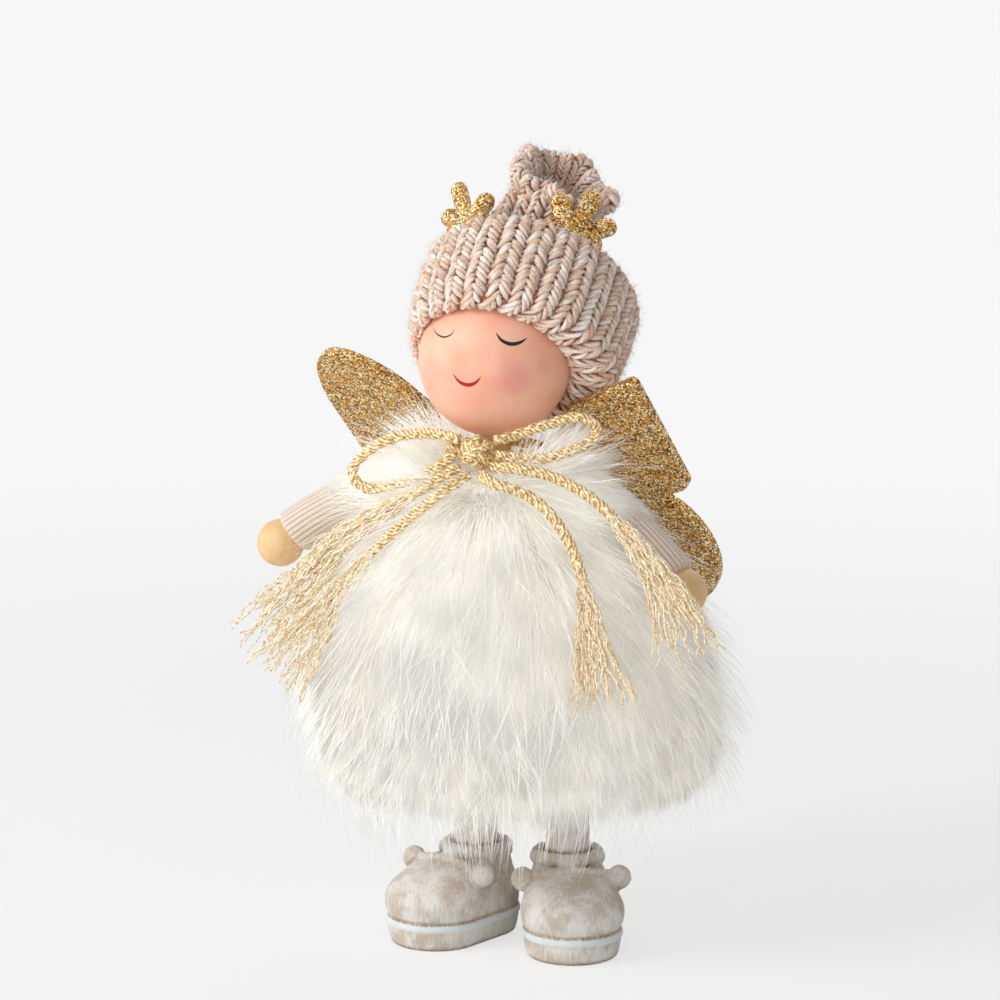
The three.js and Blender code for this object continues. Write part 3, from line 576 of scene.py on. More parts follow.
class AngelHat(bpy.types.PropertyGroup):
    """Knit hat."""

    columns: bpy.props.IntProperty(
        name="Columns", description="Columns of stitches round the cuff", default=26
    )
    rows: bpy.props.IntProperty(name="Rows", description="Rows of stitches from brow to rim", default=27)
    light: bpy.props.FloatVectorProperty(
        name="Light", description="Lightest yarn", subtype="COLOR", default=paint(255, 247, 238)
    )
    mid: bpy.props.FloatVectorProperty(
        name="Middle", description="Middle of the marl", subtype="COLOR", default=paint(240, 203, 175)
    )
    # The dark is the brown flecks and plies of the yarn, and also painted shade at the low ends of the
    # stitches and over the grounds under them.
    dark: bpy.props.FloatVectorProperty(
        name="Dark", description="Brown flecks", subtype="COLOR", default=paint(158, 100, 66)
    )


class AngelFace(bpy.types.PropertyGroup):
    """Painted head."""

    skin: bpy.props.FloatVectorProperty(
        name="Skin", description="Peach paint", subtype="COLOR", default=paint(250, 191, 164)
    )
    shade: bpy.props.FloatVectorProperty(
        name="Shade", description="Warmer peach", subtype="COLOR", default=paint(246, 178, 149)
    )
    blush: bpy.props.FloatVectorProperty(
        name="Blush", description="Cheek colour", subtype="COLOR", default=paint(234, 140, 142)
    )


class AngelCord(bpy.types.PropertyGroup):
    """Gold cord."""

    diameter: bpy.props.FloatProperty(
        name="Diameter", description="Width of the plait", default=0.00275, unit="LENGTH", precision=5
    )
    pitch: bpy.props.FloatProperty(
        name="Pitch", description="Length of one full plait", default=0.0098, unit="LENGTH", precision=4
    )
    threads: bpy.props.IntProperty(name="Threads", description="Loose threads at each end", default=44)


# The plait's strands: sides, thickness and rise as parts of half the cord, flattening, and length of a twist.
STRAND_SIDES = 8
STRAND_THICK = 0.5
PLAIT_RISE = 0.36
STRAND_WIDE = 1.05
STRAND_DEEP = 0.9
STRAND_TWIST = 1.1
CORD_TINT = 0.4

# The ring round the neck, and the knot in front of it.
CORD_RADIUS = 1.375
NECK_RING = 11.5
NECK_RING_RISE = 1.7
KNOT_GAP = 0.3
KNOT_SIZE = 4.6
KNOT_FLAT = 0.85
KNOT_RIM = 5.5
KNOT = NECK + np.array([1.5, -NECK_RING - CORD_RADIUS - KNOT_GAP - KNOT_SIZE * KNOT_FLAT, 3.6])


def plait(centre, cord, reference):
    """A flat plait: strand k of three is at sin f across and sin 2f out, f = way / pitch + k / 3 turns."""
    way = along(centre)
    _, across, out = sweep_frame(centre, reference)
    half = cord.diameter / MM / 2
    turn = 2 * math.pi * (way[None] / (cord.pitch / MM) + np.arange(3)[:, None] / 3)
    thick = half * STRAND_THICK
    lines = (
        centre[None]
        + across[None] * ((half - thick) * np.sin(turn))[..., None]
        + out[None] * (half * PLAIT_RISE * np.sin(2 * turn))[..., None]
    )
    _, side, face = sweep_frame(lines, reference)
    wide = np.full(lines.shape[:2], thick)
    points, faces, corners = tubes(lines, side, face, wide * STRAND_WIDE, wide * STRAND_DEEP, STRAND_SIDES)
    twists = way[-1] / STRAND_TWIST
    marks = {"wound": np.full(len(points), twists), "tint": np.full(len(points), CORD_TINT)}
    return points, faces, corners, marks


def at_knot(turn, ahead=0.0):
    """A point on the rim of the knot at an angle, a little ahead of it, measured from the neck."""
    angle = math.radians(turn)
    return tuple(KNOT - NECK + np.array([KNOT_RIM * math.cos(angle), -ahead, KNOT_RIM * math.sin(angle)]))


# Places along the cord, measured from the neck.
ROUTES = {
    "right_bow_loop": [
        at_knot(148), (-11, -16, 7.2), (-21.5, -17, 5.5), (-29.5, -18, -0.2), (-30.4, -18.5, -4.6),
        (-25, -19, -7), (-15.5, -19.5, -4), (-8.5, -19.5, -1), at_knot(186, 1),
    ],
    "left_bow_loop": [
        at_knot(32), (10, -13, 7.5), (17, -10, 10), (24.2, -8, 12), (28.5, -6.5, 10), (28, -7.5, 6.5),
        (23.5, -11, 4), (16, -13.5, 2), at_knot(-6, 1),
    ],
    "right_outer_tail": [
        at_knot(222, 1.5), (-9, -23, -4.5), (-17.5, -23.5, -9.8), (-26, -24, -15.2), (-33, -24.3, -21),
        (-39, -24.6, -28.4),
    ],
    "right_inner_tail": [
        at_knot(256, 2.5), (-4, -28, -5.4), (-12, -27.5, -12), (-19, -29, -18.5), (-25.5, -30, -26),
        (-31, -31, -34),
    ],
    "left_inner_tail": [
        at_knot(-72, 2), (8.5, -24.8, -2.6), (15.5, -23.5, -4.7), (22, -23.5, -8.8), (27, -24, -14.8),
        (30.5, -25, -21.4), (33, -26.5, -28),
    ],
    "left_outer_tail": [
        at_knot(-38, 1.5), (13, -19.5, 0.4), (22.4, -19, -1.4), (32, -19.5, -5.8), (40.4, -20.5, -12.6),
        (46.8, -21.5, -19.5), (51, -23, -25),
    ],
}

# Where each tail goes on as a fray, and the part of the whole way at which its first threads come loose.
FRAY_ENDS = {
    "right_outer_tail": [(-46.3, -25, -37), (-55, -25.5, -48)],
    "right_inner_tail": [(-37, -32.2, -43), (-44, -33.5, -53.5)],
    "left_inner_tail": [(37.2, -33, -38.5), (42.3, -39.4, -53)],
    "left_outer_tail": [(56, -25.5, -32.5), (59.5, -27, -41.5)],
}
FRAY_STARTS = {
    "right_outer_tail": 0.1,
    "right_inner_tail": 0.42,
    "left_inner_tail": 0.5,
    "left_outer_tail": 0.42,
}

# Loose threads: the part of the way in which they leave the tail, where they end, and their thickness.
LOOSE_PART = 0.22
THREAD_ENDS = (0.86, 1.03)
THREAD_THICK = 0.18
THREAD_TWISTS = 40.0

# How far the threads fan out: soon after they come loose, and at their ends.
FAN_SOON = 1.5
FAN_END = 7.5

# The side of the cord that faces out of the figure.
OUT = np.array([0.0, -1.0, 0.12])


def fray(name, cord, chance):
    """Loose threads: each leaves the tail somewhere, fans out with the way from there and waves."""
    stations, steps, sides = 160, 64, 4
    count = cord.threads
    line = even(through([*ROUTES[name], *FRAY_ENDS[name]], 200), stations) + NECK
    _, across, out = sweep_frame(line, OUT)
    part = np.linspace(0, 1, stations)
    first = FRAY_STARTS[name]
    start = chance.uniform(first, first + LOOSE_PART, count)[:, None]
    end = chance.uniform(*THREAD_ENDS, count)[:, None]
    way = start + (end - start) * np.linspace(0, 1, steps)
    centre, side, face = (
        np.stack([np.interp(way, part, values[:, k]) for k in range(3)], -1) for values in (line, across, out)
    )
    centre = centre + np.maximum(way - 1, 0)[..., None] * (line[-1] - line[-20]) * 8
    opened = np.clip((way - first) / (1 - first), 0, 1)
    lane = chance.uniform(-1, 1, count)[:, None]
    fan = lane * (FAN_SOON * ease(opened, 0.0, 0.2) + FAN_END * opened**1.7)
    lift = 0.75 + chance.uniform(-0.3, 1, count)[:, None] * (0.5 + 2.4 * opened)
    wave = chance.uniform(4.0, 9.0, count)[:, None]
    phase = chance.uniform(0, 2 * math.pi, (3, count, 1))
    travel = way * along(line)[-1] * 2 * math.pi
    ripple = 0.36 * np.sin(travel / wave + phase[0])
    sway = ripple + 0.7 * opened * np.sin(travel / (wave * 3.4) + phase[2])
    bob = 0.3 * np.sin(travel / (wave * 0.83) + phase[1])
    centre = centre + side * (fan + sway)[..., None] + face * (lift + bob)[..., None]
    _, side, face = sweep_frame(centre, OUT)
    wide = np.full(centre.shape[:2], THREAD_THICK) * chance.uniform(0.8, 1.25, count)[:, None]
    wide[:, -4:] *= np.array([0.95, 0.9, 0.8, 0.6])
    points, faces, corners = tubes(centre, side, face, wide * 1.25, wide, sides)
    tint = np.repeat(chance.uniform(0, 1, count), steps * sides)
    return points, faces, corners, {"wound": np.full(len(points), THREAD_TWISTS), "tint": tint}


class ANGEL_OT_bow(bpy.types.Operator):
    """Plaits the gold cord: a ring round the neck, a knot, two loops and four tails with loose ends."""

    bl_idname = "angel.bow"
    bl_label = "Cord bow"

    def execute(self, context):
        cord = context.scene.angel_cord
        chance = np.random.default_rng(11)
        # Each gold runs from dark, painted shade between strands, through middle to bright, painted glints;
        # the loose threads get more painted glow.
        plait_gold = paint(124, 76, 24), paint(216, 164, 86), paint(255, 238, 190)
        gold = cord_finish("gold_plait", *plait_gold, glow=0.04)
        loose_gold = paint(150, 92, 24), paint(246, 200, 116), paint(255, 252, 232)
        thread = cord_finish("gold_threads", *loose_gold, glow=0.13)
        self.closed_ring(cord, gold)
        self.knot(cord, gold)
        for name, points in ROUTES.items():
            line = even(through(points, 240), 150) + NECK
            shape, faces, corners, marks = plait(line, cord, OUT)
            piece = make_piece(
                f"{name}_plait", shape, faces, gold, "body", (name,), corners, marks
            )
            if name in FRAY_ENDS:
                shape, faces, corners, marks = fray(name, cord, chance)
                node = name.replace("tail", "fray")
                threads = make_piece(
                    f"{node}_threads", shape, faces, thread, "body", (node,), corners, marks
                )
        return {"FINISHED"}

    def closed_ring(self, cord, gold):
        """The ring round the neck is a plait whose last station meets its first."""
        steps = 160
        angle = np.linspace(0, 2 * math.pi, steps + 1)[:-1]
        out = np.stack([np.cos(angle), np.sin(angle), np.zeros(steps)], 1)
        circle = np.stack([NECK_RING * np.cos(angle), NECK_RING * np.sin(angle)], 1)
        ring = NECK + np.concatenate([circle, np.full((steps, 1), NECK_RING_RISE)], 1)
        turns = round(2 * math.pi * NECK_RING / (cord.pitch / MM))
        half = cord.diameter / MM / 2
        phase = turns * angle[None] + 2 * math.pi * np.arange(3)[:, None] / 3
        lines = (
            ring[None]
            + UP * ((half * 0.54) * np.sin(phase))[..., None]
            + out[None] * (half * PLAIT_RISE * np.sin(2 * phase))[..., None]
        )
        side = np.broadcast_to(out[None], lines.shape)
        face = np.broadcast_to(UP, lines.shape)
        wide = np.full((*lines.shape[:2], 1), half * 0.46)
        points = rings(lines, side, face, wide, wide, STRAND_SIDES)
        faces, corners = ring_faces(steps, STRAND_SIDES, close_rows=True)
        size = steps * STRAND_SIDES
        marks = {"wound": np.full(3 * size, 66.0), "tint": np.full(3 * size, CORD_TINT)}
        sets = [repeat_faces(faces, 3, size)]
        make_piece(
            "neck_cord_plait", points, sets, gold, "body", ("neck_cord",),
            np.tile(corners, (3, 1, 1)), marks,
        )

    def knot(self, cord, gold):
        """The knot is three short bands of plait that cross, each bowed outwards over most of a turn."""
        turn = np.linspace(-2.5, 2.5, 60)
        bands = []
        for tilt, size, shift in ((90, 3.1, 0.0), (35, 3.3, 0.4), (-30, 3.2, 0.2)):
            angle = math.radians(tilt)
            along_band = np.array([math.cos(angle), 0, math.sin(angle)])
            line = KNOT + size * np.sin(turn)[:, None] * along_band
            line = line + np.cos(turn)[:, None] * np.array([0, -size * KNOT_FLAT - shift, 0])
            bands.append(plait(line, cord, OUT + along_band * 0.05))
        shapes, face_sets, maps, marks = zip(*bands)
        size = len(shapes[0])
        sets = [np.concatenate([sets[k] + i * size for i, sets in enumerate(face_sets)]) for k in range(2)]
        joined = {key: np.concatenate([mark[key] for mark in marks]) for key in ("wound", "tint")}
        make_piece(
            "bow_knot_plait", np.concatenate(shapes), sets, gold, "body", ("bow_knot",),
            np.concatenate(maps), joined,
        )


# Parts of a hair's way at which it has a ring, and the core and reach that a kind of hair is drawn in to.
SHORT_HAIR = (0.0, 0.5)
LONG_HAIR = (0.0, 0.38, 0.74)
PILE_ROOM = (43, 11)
STRAY_ROOM = (48, 13)

# Hairs besides the pile: loose ones, those round the neck and those on each shoulder.
STRAYS = 7600
NECK_HAIRS = 2600
SHOULDER_HAIRS = 2600

# Heights over which hairs change: from the hem's to the bell's, to the neck's, and from short to full length.
HEM_EASE = (46, 66)
NECK_EASE = (98, 122)
LENGTH_EASE = (50, 92)
HEM_LENGTH = 0.38
BEND_AT = 0.45

# Locks of the pile: height, width, the shift from row to row, and factors that give each its own turns.
LOCK_HIGH = 10.0
LOCK_WIDE = 5.0
LOCK_STAGGER = 0.37
LOCK_SHAKE = (12.9898, 78.233, 37.719, 4.581)

# Angles round the body, from the figure's left: where the pile parts in front, and where the bow lies.
PARTING = -1.4
BOW_FRONT = -1.7


def bell_line(inset):
    """The dress's outline, radius and height from hem to neck, drawn in by an inset."""
    line = even(through(BELL, 200), 160)
    slope = unit(np.gradient(line, axis=0))
    normal = np.stack([slope[:, 1], -slope[:, 0]], 1)
    return line - inset * normal, normal


def hairs(root, middle, tip, width, chance, stations):
    """Three-sided hairs on the curve (1-s)^2 root + 2s(1-s) middle + s^2 tip, thinning to a point."""
    sides = 3
    count, levels = len(root), len(stations)
    s = np.array(stations)[None, :, None]
    centre = (1 - s) ** 2 * root[:, None] + 2 * s * (1 - s) * middle[:, None] + s**2 * tip[:, None]
    way = unit(2 * (1 - s) * (middle - root)[:, None] + 2 * s * (tip - middle)[:, None])
    across = unit(np.cross(way, chance.normal(size=(count, 1, 3))))
    out = np.cross(way, across)
    taper = ((1 - 0.62 * np.array(stations) ** 1.5) * width[:, None] / 2)[..., None]
    shape = rings(centre, across, out, taper, taper, sides)
    points = np.concatenate([shape.reshape(count, sides * levels, 3), tip[:, None]], axis=1)
    size = sides * levels + 1
    quads, _ = ring_faces(levels, sides)
    last = np.arange(sides) + sides * (levels - 1)
    point = np.stack([last, np.roll(last, -1), np.full(sides, size - 1)], 1)
    ends = np.concatenate([point, [[2, 1, 0]]])
    rise = np.tile(np.append(np.repeat(stations, sides), 1.0), (count, 1))
    sets = [repeat_faces(quads, count, size), repeat_faces(ends, count, size)]
    return points.reshape(-1, 3), sets, rise


def on_bell(line, pick, around):
    """Places on the dress's outline turned to angles round the body: their radial directions and points."""
    radius, height = (np.interp(pick, np.arange(len(line)), line[:, k]) for k in range(2))
    ring = np.stack([np.cos(around), np.sin(around), np.zeros_like(around)], 1)
    return ring, ring * radius[:, None] + UP * height[:, None] + lean(height)


def off_front(around, front):
    """Angles measured from a front angle, between half a turn to one side and half a turn to the other."""
    return (around - front + math.pi) % (2 * math.pi) - math.pi


class ANGEL_OT_fur(bpy.types.Operator):
    """Grows the fur dress: backing, dense pile combed downwards, stray hairs, collar and shoulders."""

    bl_idname = "angel.fur"
    bl_label = "Fur dress"

    def execute(self, context):
        pile = context.scene.angel_pile
        hair = fur_finish(pile)
        self.backing(pile)
        batch = 12000
        total = pile.count
        for index, start in enumerate(range(0, total, batch)):
            chance = np.random.default_rng(100 + index)
            curves = self.pile(pile, min(batch, total - start), chance)
            name = f"fur_pile_{index + 1}"
            make_hairs(name, curves, pile, hair, chance, stations=SHORT_HAIR, room=PILE_ROOM)
        chance = np.random.default_rng(5)
        make_hairs("fur_stray_hairs", self.strays(pile, STRAYS, chance), pile, hair, chance)
        make_hairs("fur_neck_hairs", self.collar(NECK_HAIRS, chance), pile, hair, chance)
        for name in SIDES:
            spill = self.spill(name, SHOULDER_HAIRS, chance)
            piece = make_hairs(f"fur_{name}_shoulder_hairs", spill, pile, hair, chance, None)
            line, hand = arm_line(name)
            behind = line[0] - (hand - line[0]) * 0.2
            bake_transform(piece)
        return {"FINISHED"}

    def backing(self, pile):
        """The cloth under the pile: the dress's outline drawn in, closed by discs, turned and leaned."""
        sides, inset, foot = 96, 7.5, 42
        floor = [[0.0, 39.0], [27.0, 39.4]]
        line, _ = bell_line(inset)
        line = line[line[:, 1] > foot]
        line = np.concatenate([floor, line, [[0.0, line[-1, 1]]]])
        shape = turned(line, sides) + lean(np.repeat(line[:, 1:], sides, axis=1))
        faces, _ = ring_faces(len(line), sides)
        stands_for = ("fur_dress", "body_core")
        piece = make_piece(
            "fur_backing", shape, [faces], backing_finish(pile), "body", stands_for, weld=True
        )

    def pile(self, pile, count, chance):
        """Roots spread evenly over the bell; each hair lifts, bends down and leans to its lock's tip."""
        line, normal = bell_line(6.5)
        way = along(line)
        share = np.maximum(line[:, 0], 4.0) * np.gradient(way) * (line[:, 1] > 49)
        weight = np.cumsum(share)
        pick = np.interp(chance.uniform(0, weight[-1], count), weight, np.arange(len(line)))
        around = chance.uniform(0, 2 * math.pi, count)
        cell_high = np.floor(way[pick.astype(int)] / LOCK_HIGH)
        girth = 2 * math.pi * np.interp(cell_high * LOCK_HIGH, way, line[:, 0])
        cell_wide = np.maximum(np.floor(girth / LOCK_WIDE), 3)
        cell = np.floor(around / (2 * math.pi) * cell_wide + LOCK_STAGGER * cell_high)
        key = (cell_high * 977 + cell * 131).astype(np.int64)
        shake = np.stack([np.modf(np.sin(key * factor) * 43758.5453)[0] for factor in LOCK_SHAKE], 1)
        lock_around = (cell + 0.5 + 0.4 * shake[:, 0] - LOCK_STAGGER * cell_high) / cell_wide * 2 * math.pi
        lock_way = (cell_high + 0.5 + 0.4 * shake[:, 1]) * LOCK_HIGH
        lock_pick = np.interp(lock_way, way, np.arange(len(line)))
        own = self.curve(pile, line, normal, pick, around, chance.normal(size=(count, 4)) * 0.8)
        lock = self.curve(pile, line, normal, lock_pick, lock_around, shake * 1.3)
        pull = chance.uniform(0.1, 0.7, (count, 1))
        middle = own[1] + (lock[1] - own[1]) * pull * 0.35
        tip = own[2] + (lock[2] - own[2]) * pull
        middle, tip = self.press(middle, 2.2), self.press(tip, 1.6)
        # Partly a random tint per lock and hair, partly painted shade: hairs away from the front parting turn
        # towards the warm, darker colour, while the front stays white as if lit.
        sideways = np.abs(off_front(around, PARTING))
        warm = 0.3 + 0.45 * ease(sideways, 0.35, 1.3) + 0.25 * shake[:, 2]
        return own[0], middle, tip, np.clip(warm + chance.normal(size=count) * 0.25, 0, 1)

    def press(self, points, depth):
        """Points beside the cord's tails sink by their height over the nearest tail, fading out sideways."""
        steps = 48
        tails = [even(through([*ROUTES[name], *FRAY_ENDS[name]], 120), steps) + NECK for name in FRAY_ENDS]
        spread = np.tile(np.linspace(3.2, 8.5, steps), len(tails))
        tails = np.concatenate(tails)
        gap = points[:, None] - tails[None]
        out = unit(tails * np.array([1, 1, 0]) - np.array([*LEAN, 0]) + UP * 6.0)
        high = np.einsum("ijk,jk->ij", gap, out)
        aside = np.linalg.norm(gap - high[..., None] * out, axis=-1) / spread
        nearest = aside.argmin(1)
        pick = np.arange(len(points)), nearest
        sink = np.maximum(high[pick] + depth, 0) * (1 - ease(aside[pick], 0.6, 1.3))
        return points - out[nearest] * sink[:, None]

    def curve(self, pile, line, normal, pick, around, shake):
        """Root, middle and tip of hairs from a place on the outline, an angle and four random turns."""
        ring, root = on_bell(line, pick, around)
        height = np.interp(pick, np.arange(len(line)), line[:, 1])
        up_r, up_z = (np.interp(pick, np.arange(len(line)), normal[:, k]) for k in range(2))
        side = np.stack([-np.sin(around), np.cos(around), np.zeros_like(around)], 1)
        out = unit(ring * up_r[:, None] + UP * up_z[:, None])
        down = unit(ring * up_z[:, None] - UP * up_r[:, None])
        low = 1 - ease(height, *HEM_EASE)[:, None]
        down = unit(down * (1 - 0.5 * low) - UP * 0.25 * low + ring * 0.35 * low)
        top = ease(height, *NECK_EASE)[:, None]
        front = np.exp(-(off_front(around, PARTING) ** 2) / 0.25)[:, None]
        wave = 0.2 * np.sin(3 * around + height * 0.09) + 0.18 * np.sin(7 * around - height * 0.13 + 1)
        swirl = side * (wave + 0.24 * shake[:, 0])[:, None]
        lift = (0.72 + 0.16 * shake[:, 1:2]) * (1 - 0.35 * front)
        first = unit(down * (1 - 0.2 * top) + out * lift + swirl)
        tail = 0.4 + 0.16 * shake[:, 2:3] - 0.3 * front
        second = unit(down + out * tail + swirl * 1.4 - UP * 0.2 * (1 - top))
        length = (pile.length / MM) * (1 - 0.25 * top[:, 0]) * (0.84 + 0.13 * shake[:, 3])
        length = (length * (HEM_LENGTH + (1 - HEM_LENGTH) * ease(height, *LENGTH_EASE)))[:, None]
        middle = root + first * length * BEND_AT
        return root, middle, middle + second * length * (1 - BEND_AT)

    def strays(self, pile, count, chance):
        """Loose long hairs: some hang from the hem over the legs, the rest stand off the bell."""
        lowest_tip = 14.0
        line, normal = bell_line(5.5)
        hanging = chance.uniform(size=count) < 0.09
        around = np.where(hanging, chance.normal(-1.5, 0.6, count), chance.uniform(0, 2 * math.pi, count))
        pick = np.where(hanging, chance.uniform(22, 48, count), chance.uniform(24, 158, count))
        root, middle, tip = self.curve(pile, line, normal, pick, around, chance.normal(size=(count, 4)) * 1.5)
        extra = chance.uniform(0.0, 0.45, count) * (1 - ease(root[:, 2], 80, 105))
        longer = 1 + np.where(hanging, 0.0, extra)[:, None]
        middle, tip = root + (middle - root) * longer, root + (tip - root) * longer
        drop = np.where(hanging, chance.uniform(2, 18, count), 0)[:, None] * UP
        inward = np.where(hanging, 0.22, 0.0)[:, None] * (tip - HEAD) * np.array([1, 1, 0])
        middle = middle - drop * 0.4
        tip = tip - drop - inward
        tip[:, 2] = np.maximum(tip[:, 2], lowest_tip)
        return root, middle, tip, chance.uniform(0, 0.5, count)

    def collar(self, count, chance):
        """Short hairs round the neck: from the bell's top out and up, low in front where the bow lies."""
        inset, lowest = 2.5, 118
        line, _ = bell_line(inset)
        upper = np.flatnonzero(line[:, 1] > lowest)
        pick = chance.uniform(upper[0], upper[-1], count)
        around = chance.uniform(0, 2 * math.pi, count)
        front = np.exp(-(off_front(around, BOW_FRONT) ** 2) / 0.5)[:, None]
        ring, root = on_bell(line, pick, around)
        reach = chance.uniform(7, 16, (count, 1)) * (1 - 0.5 * front)
        middle = root + (ring * 0.3 + UP * (0.62 - 0.6 * front)) * reach
        tip = middle + (ring * 0.5 + UP * (0.3 - 0.5 * front) + chance.normal(0, 0.16, (count, 3))) * reach
        return root, middle, tip, chance.uniform(0, 0.5, count)

    def spill(self, name, count, chance):
        """Hairs from a shoulder along its arm: root on the bell, tip over the sleeve, some way out."""
        side = SIDES[name]
        inset, lowest, turn = 4.0, 106, 0.26
        line, _ = bell_line(inset)
        upper = np.flatnonzero(line[:, 1] > lowest)
        pick = chance.uniform(upper[0], upper[-1] - 4, count)
        around = (-turn if side > 0 else math.pi + turn) + chance.normal(0, 0.6, count)
        _, root = on_bell(line, pick, around)
        arm, _ = arm_line(name)
        place = chance.uniform(0.1, 0.72, count) * (len(arm) - 1)
        over = np.stack([np.interp(place, np.arange(len(arm)), arm[:, k]) for k in range(3)], 1)
        across = np.array([math.sin(ARM_YAW) * side, math.cos(ARM_YAW), 0.0])
        aside = chance.normal(0, 4.2, count)
        above = 6.2 + chance.uniform(0, 2.6, count) - 0.07 * aside**2
        tip = over + across * aside[:, None] + UP * above[:, None]
        middle = (root + tip) / 2 + UP * chance.uniform(2.0, 6.0, (count, 1))
        return root, middle, tip, chance.uniform(0, 0.7, count)


def clear_wing(points, room):
    """Points over the wing's plate come back to its front, by their depth past that face along its normal."""
    middle, across, normal, up = wing_frame(np.concatenate([np.zeros((1, 3)), np.eye(3)]))
    way = points - middle
    aside, depth, rise = (way @ (axis - middle) for axis in (across, normal, up))
    inside = (np.abs(aside) < 57) & (rise > -31) & (rise < 62)
    return points - (normal - middle) * (np.maximum(depth + room, 0) * inside)[:, None]


def draw_in(points, core, reach):
    """Points further than core from the body's middle line stand reach * tanh(excess / reach) past core."""
    way = (points - lean(points[:, 2])) * np.array([1.0, 1.0, 0.0])
    far = np.maximum(np.linalg.norm(way, axis=1), 1e-6)
    drawn = np.minimum(far, core) + reach * np.tanh(np.maximum(far - core, 0) / reach)
    return points + way * (drawn / far - 1)[:, None]


def make_hairs(name, curves, pile, finish, chance, body="body", stations=LONG_HAIR, room=STRAY_ROOM):
    """A piece of hairs from their roots, middles, tips and tints."""
    root, middle, tip, tint = curves
    middle, tip = clear_wing(draw_in(middle, *room), 3.0), clear_wing(draw_in(tip, *room), 2.2)
    width = np.full(len(root), pile.width / MM) * chance.uniform(0.7, 1.2, len(root))
    points, sets, rise = hairs(root, middle, tip, width, chance, stations)
    marks = {"tint": np.repeat(tint, rise.shape[1]), "rise": rise}
    return make_piece(name, points, sets, finish, body, (), None, marks)


HAT_TILT = math.radians(47.8)

# Outlines of the hat's three parts: radius and height along its own axis.
CUFF_POINTS = [
    (19.9, 4.5), (19.6, 2.0), (20.4, 0.2), (22.4, -0.3), (24.4, 0.8), (25.5, 4.0), (26.2, 11.0), (26.2, 18.0),
    (25.8, 22.4), (24.2, 24.3), (22.3, 23.6), (21.4, 20.0), (21.2, 16.0),
]
CROWN_POINTS = [
    (21.4, 10.0), (20.4, 14.0), (16.5, 18.5), (13.8, 24.0), (12.8, 30.0), (12.6, 36.0), (12.0, 39.5),
]
TIP_FOOT = 37.6
TIP_POINTS = [
    (12.3, TIP_FOOT), (11.2, 41.0), (10.4, 44.5), (11.2, 48.5), (12.6, 51.6), (11.8, 53.4), (9.6, 52.2),
    (7.6, 49.0), (5.4, 46.0), (2.8, 44.2), (0.8, 43.8),
]
HAT_OUTLINES = {
    "cuff": even(through(CUFF_POINTS, 240), 120),
    "crown": even(through(CROWN_POINTS, 160), 90),
    "tip": even(through(TIP_POINTS, 200), 110),
}
TIP_AXIS = unit(np.array([0.42, -0.08, 0.9]))
FUZZ = {"cuff": 11000, "crown": 3000, "tip": 3000}
FUZZ_THICK = 0.08


def in_hat(points):
    """From the hat's own frame, axis along Z, to the figure: tipped back and set on the head's middle."""
    c, s = math.cos(HAT_TILT), math.sin(HAT_TILT)
    x, y, z = points[..., 0], points[..., 1], points[..., 2]
    return HEAD + np.stack([x, c * y + s * z, -s * y + c * z], axis=-1)


def hat_shift(radius):
    """The hat sits off centre: its outer wall is further to the figure's left than its inner one."""
    return 3.6 * ease(radius, 19.8, 24.5)


def tip_bend(height):
    """The tip leans over: its axis eases from the hat's to its own, and its middle follows that axis."""
    levels = np.linspace(TIP_FOOT, 58, 80)
    hat_axis = unit(in_hat(UP) - HEAD)
    part = ease(levels, 36.0, 48.5)[:, None]
    axis = unit(hat_axis * (1 - part) + TIP_AXIS * part)
    steps = (axis[1:] + axis[:-1]) / 2 * np.diff(levels)[:, None]
    middle = np.concatenate([[np.zeros(3)], np.cumsum(steps, axis=0)])
    at_middle, at_axis = (
        np.stack([np.interp(height, levels, values[:, k]) for k in range(3)], -1) for values in (middle, axis)
    )
    return at_middle, unit(at_axis)


def hat_surface(kind, u, v):
    """A point of the hat from a part of the way round and a part of the way along its outline."""
    outline = HAT_OUTLINES[kind]
    place = np.clip(v, 0, 1) * (len(outline) - 1)
    radius, height = (np.interp(place, np.arange(len(outline)), outline[:, k]) for k in range(2))
    turn = 2 * math.pi * u
    if kind == "tip":
        ruffle = ease(v, 0.1, 0.5)
        radius = radius * (1 + ruffle * (0.11 * np.sin(5 * turn + 0.6) + 0.05 * np.sin(9 * turn)))
        height = height + ruffle * (0.9 * np.sin(4 * turn + 1.0) - 1.4 * np.cos(turn + 0.9))
        middle, axis = tip_bend(height)
        first = unit(np.array([1.0, 0, 0]) - axis * axis[..., :1])
        second = np.cross(axis, first)
        base = in_hat(np.array([4.1, -5.7, TIP_FOOT]))
        ring = first * (radius * np.cos(turn))[..., None] + second * (radius * np.sin(turn))[..., None]
        return base + middle + ring
    bend = np.clip((height - 21) / 22, 0, None) ** 2
    shift_x, shift_y = 5.0 * bend + 1.2, -10.0 * bend
    if kind == "crown":
        fold = ease(v, 0.25, 1.0)
        radius = radius * (1 + fold * 0.05 * np.sin(8 * turn))
    else:
        shift_x = hat_shift(radius)
        radius = radius * (1 + 0.012 * np.sin(3 * turn + 0.8) + 0.008 * np.sin(7 * turn))
    x = radius * np.cos(turn) + shift_x
    y = radius * np.sin(turn) + shift_y
    return in_hat(np.stack([x, y, height], axis=-1))


def hat_place(kind, u, v):
    """Point, outward normal and girth of the hat's surface: the normal and girth from small differences."""
    small = 1e-3
    here = hat_surface(kind, u, v)
    step_u = (hat_surface(kind, u + small, v) - hat_surface(kind, u - small, v)) / (2 * small)
    after, before = np.clip(v + small, 0, 1), np.clip(v - small, 0, 1)
    step_v = (hat_surface(kind, u, after) - hat_surface(kind, u, before)) / (after - before)[..., None]
    return here, unit(np.cross(step_u, step_v)), np.linalg.norm(step_u, axis=-1)


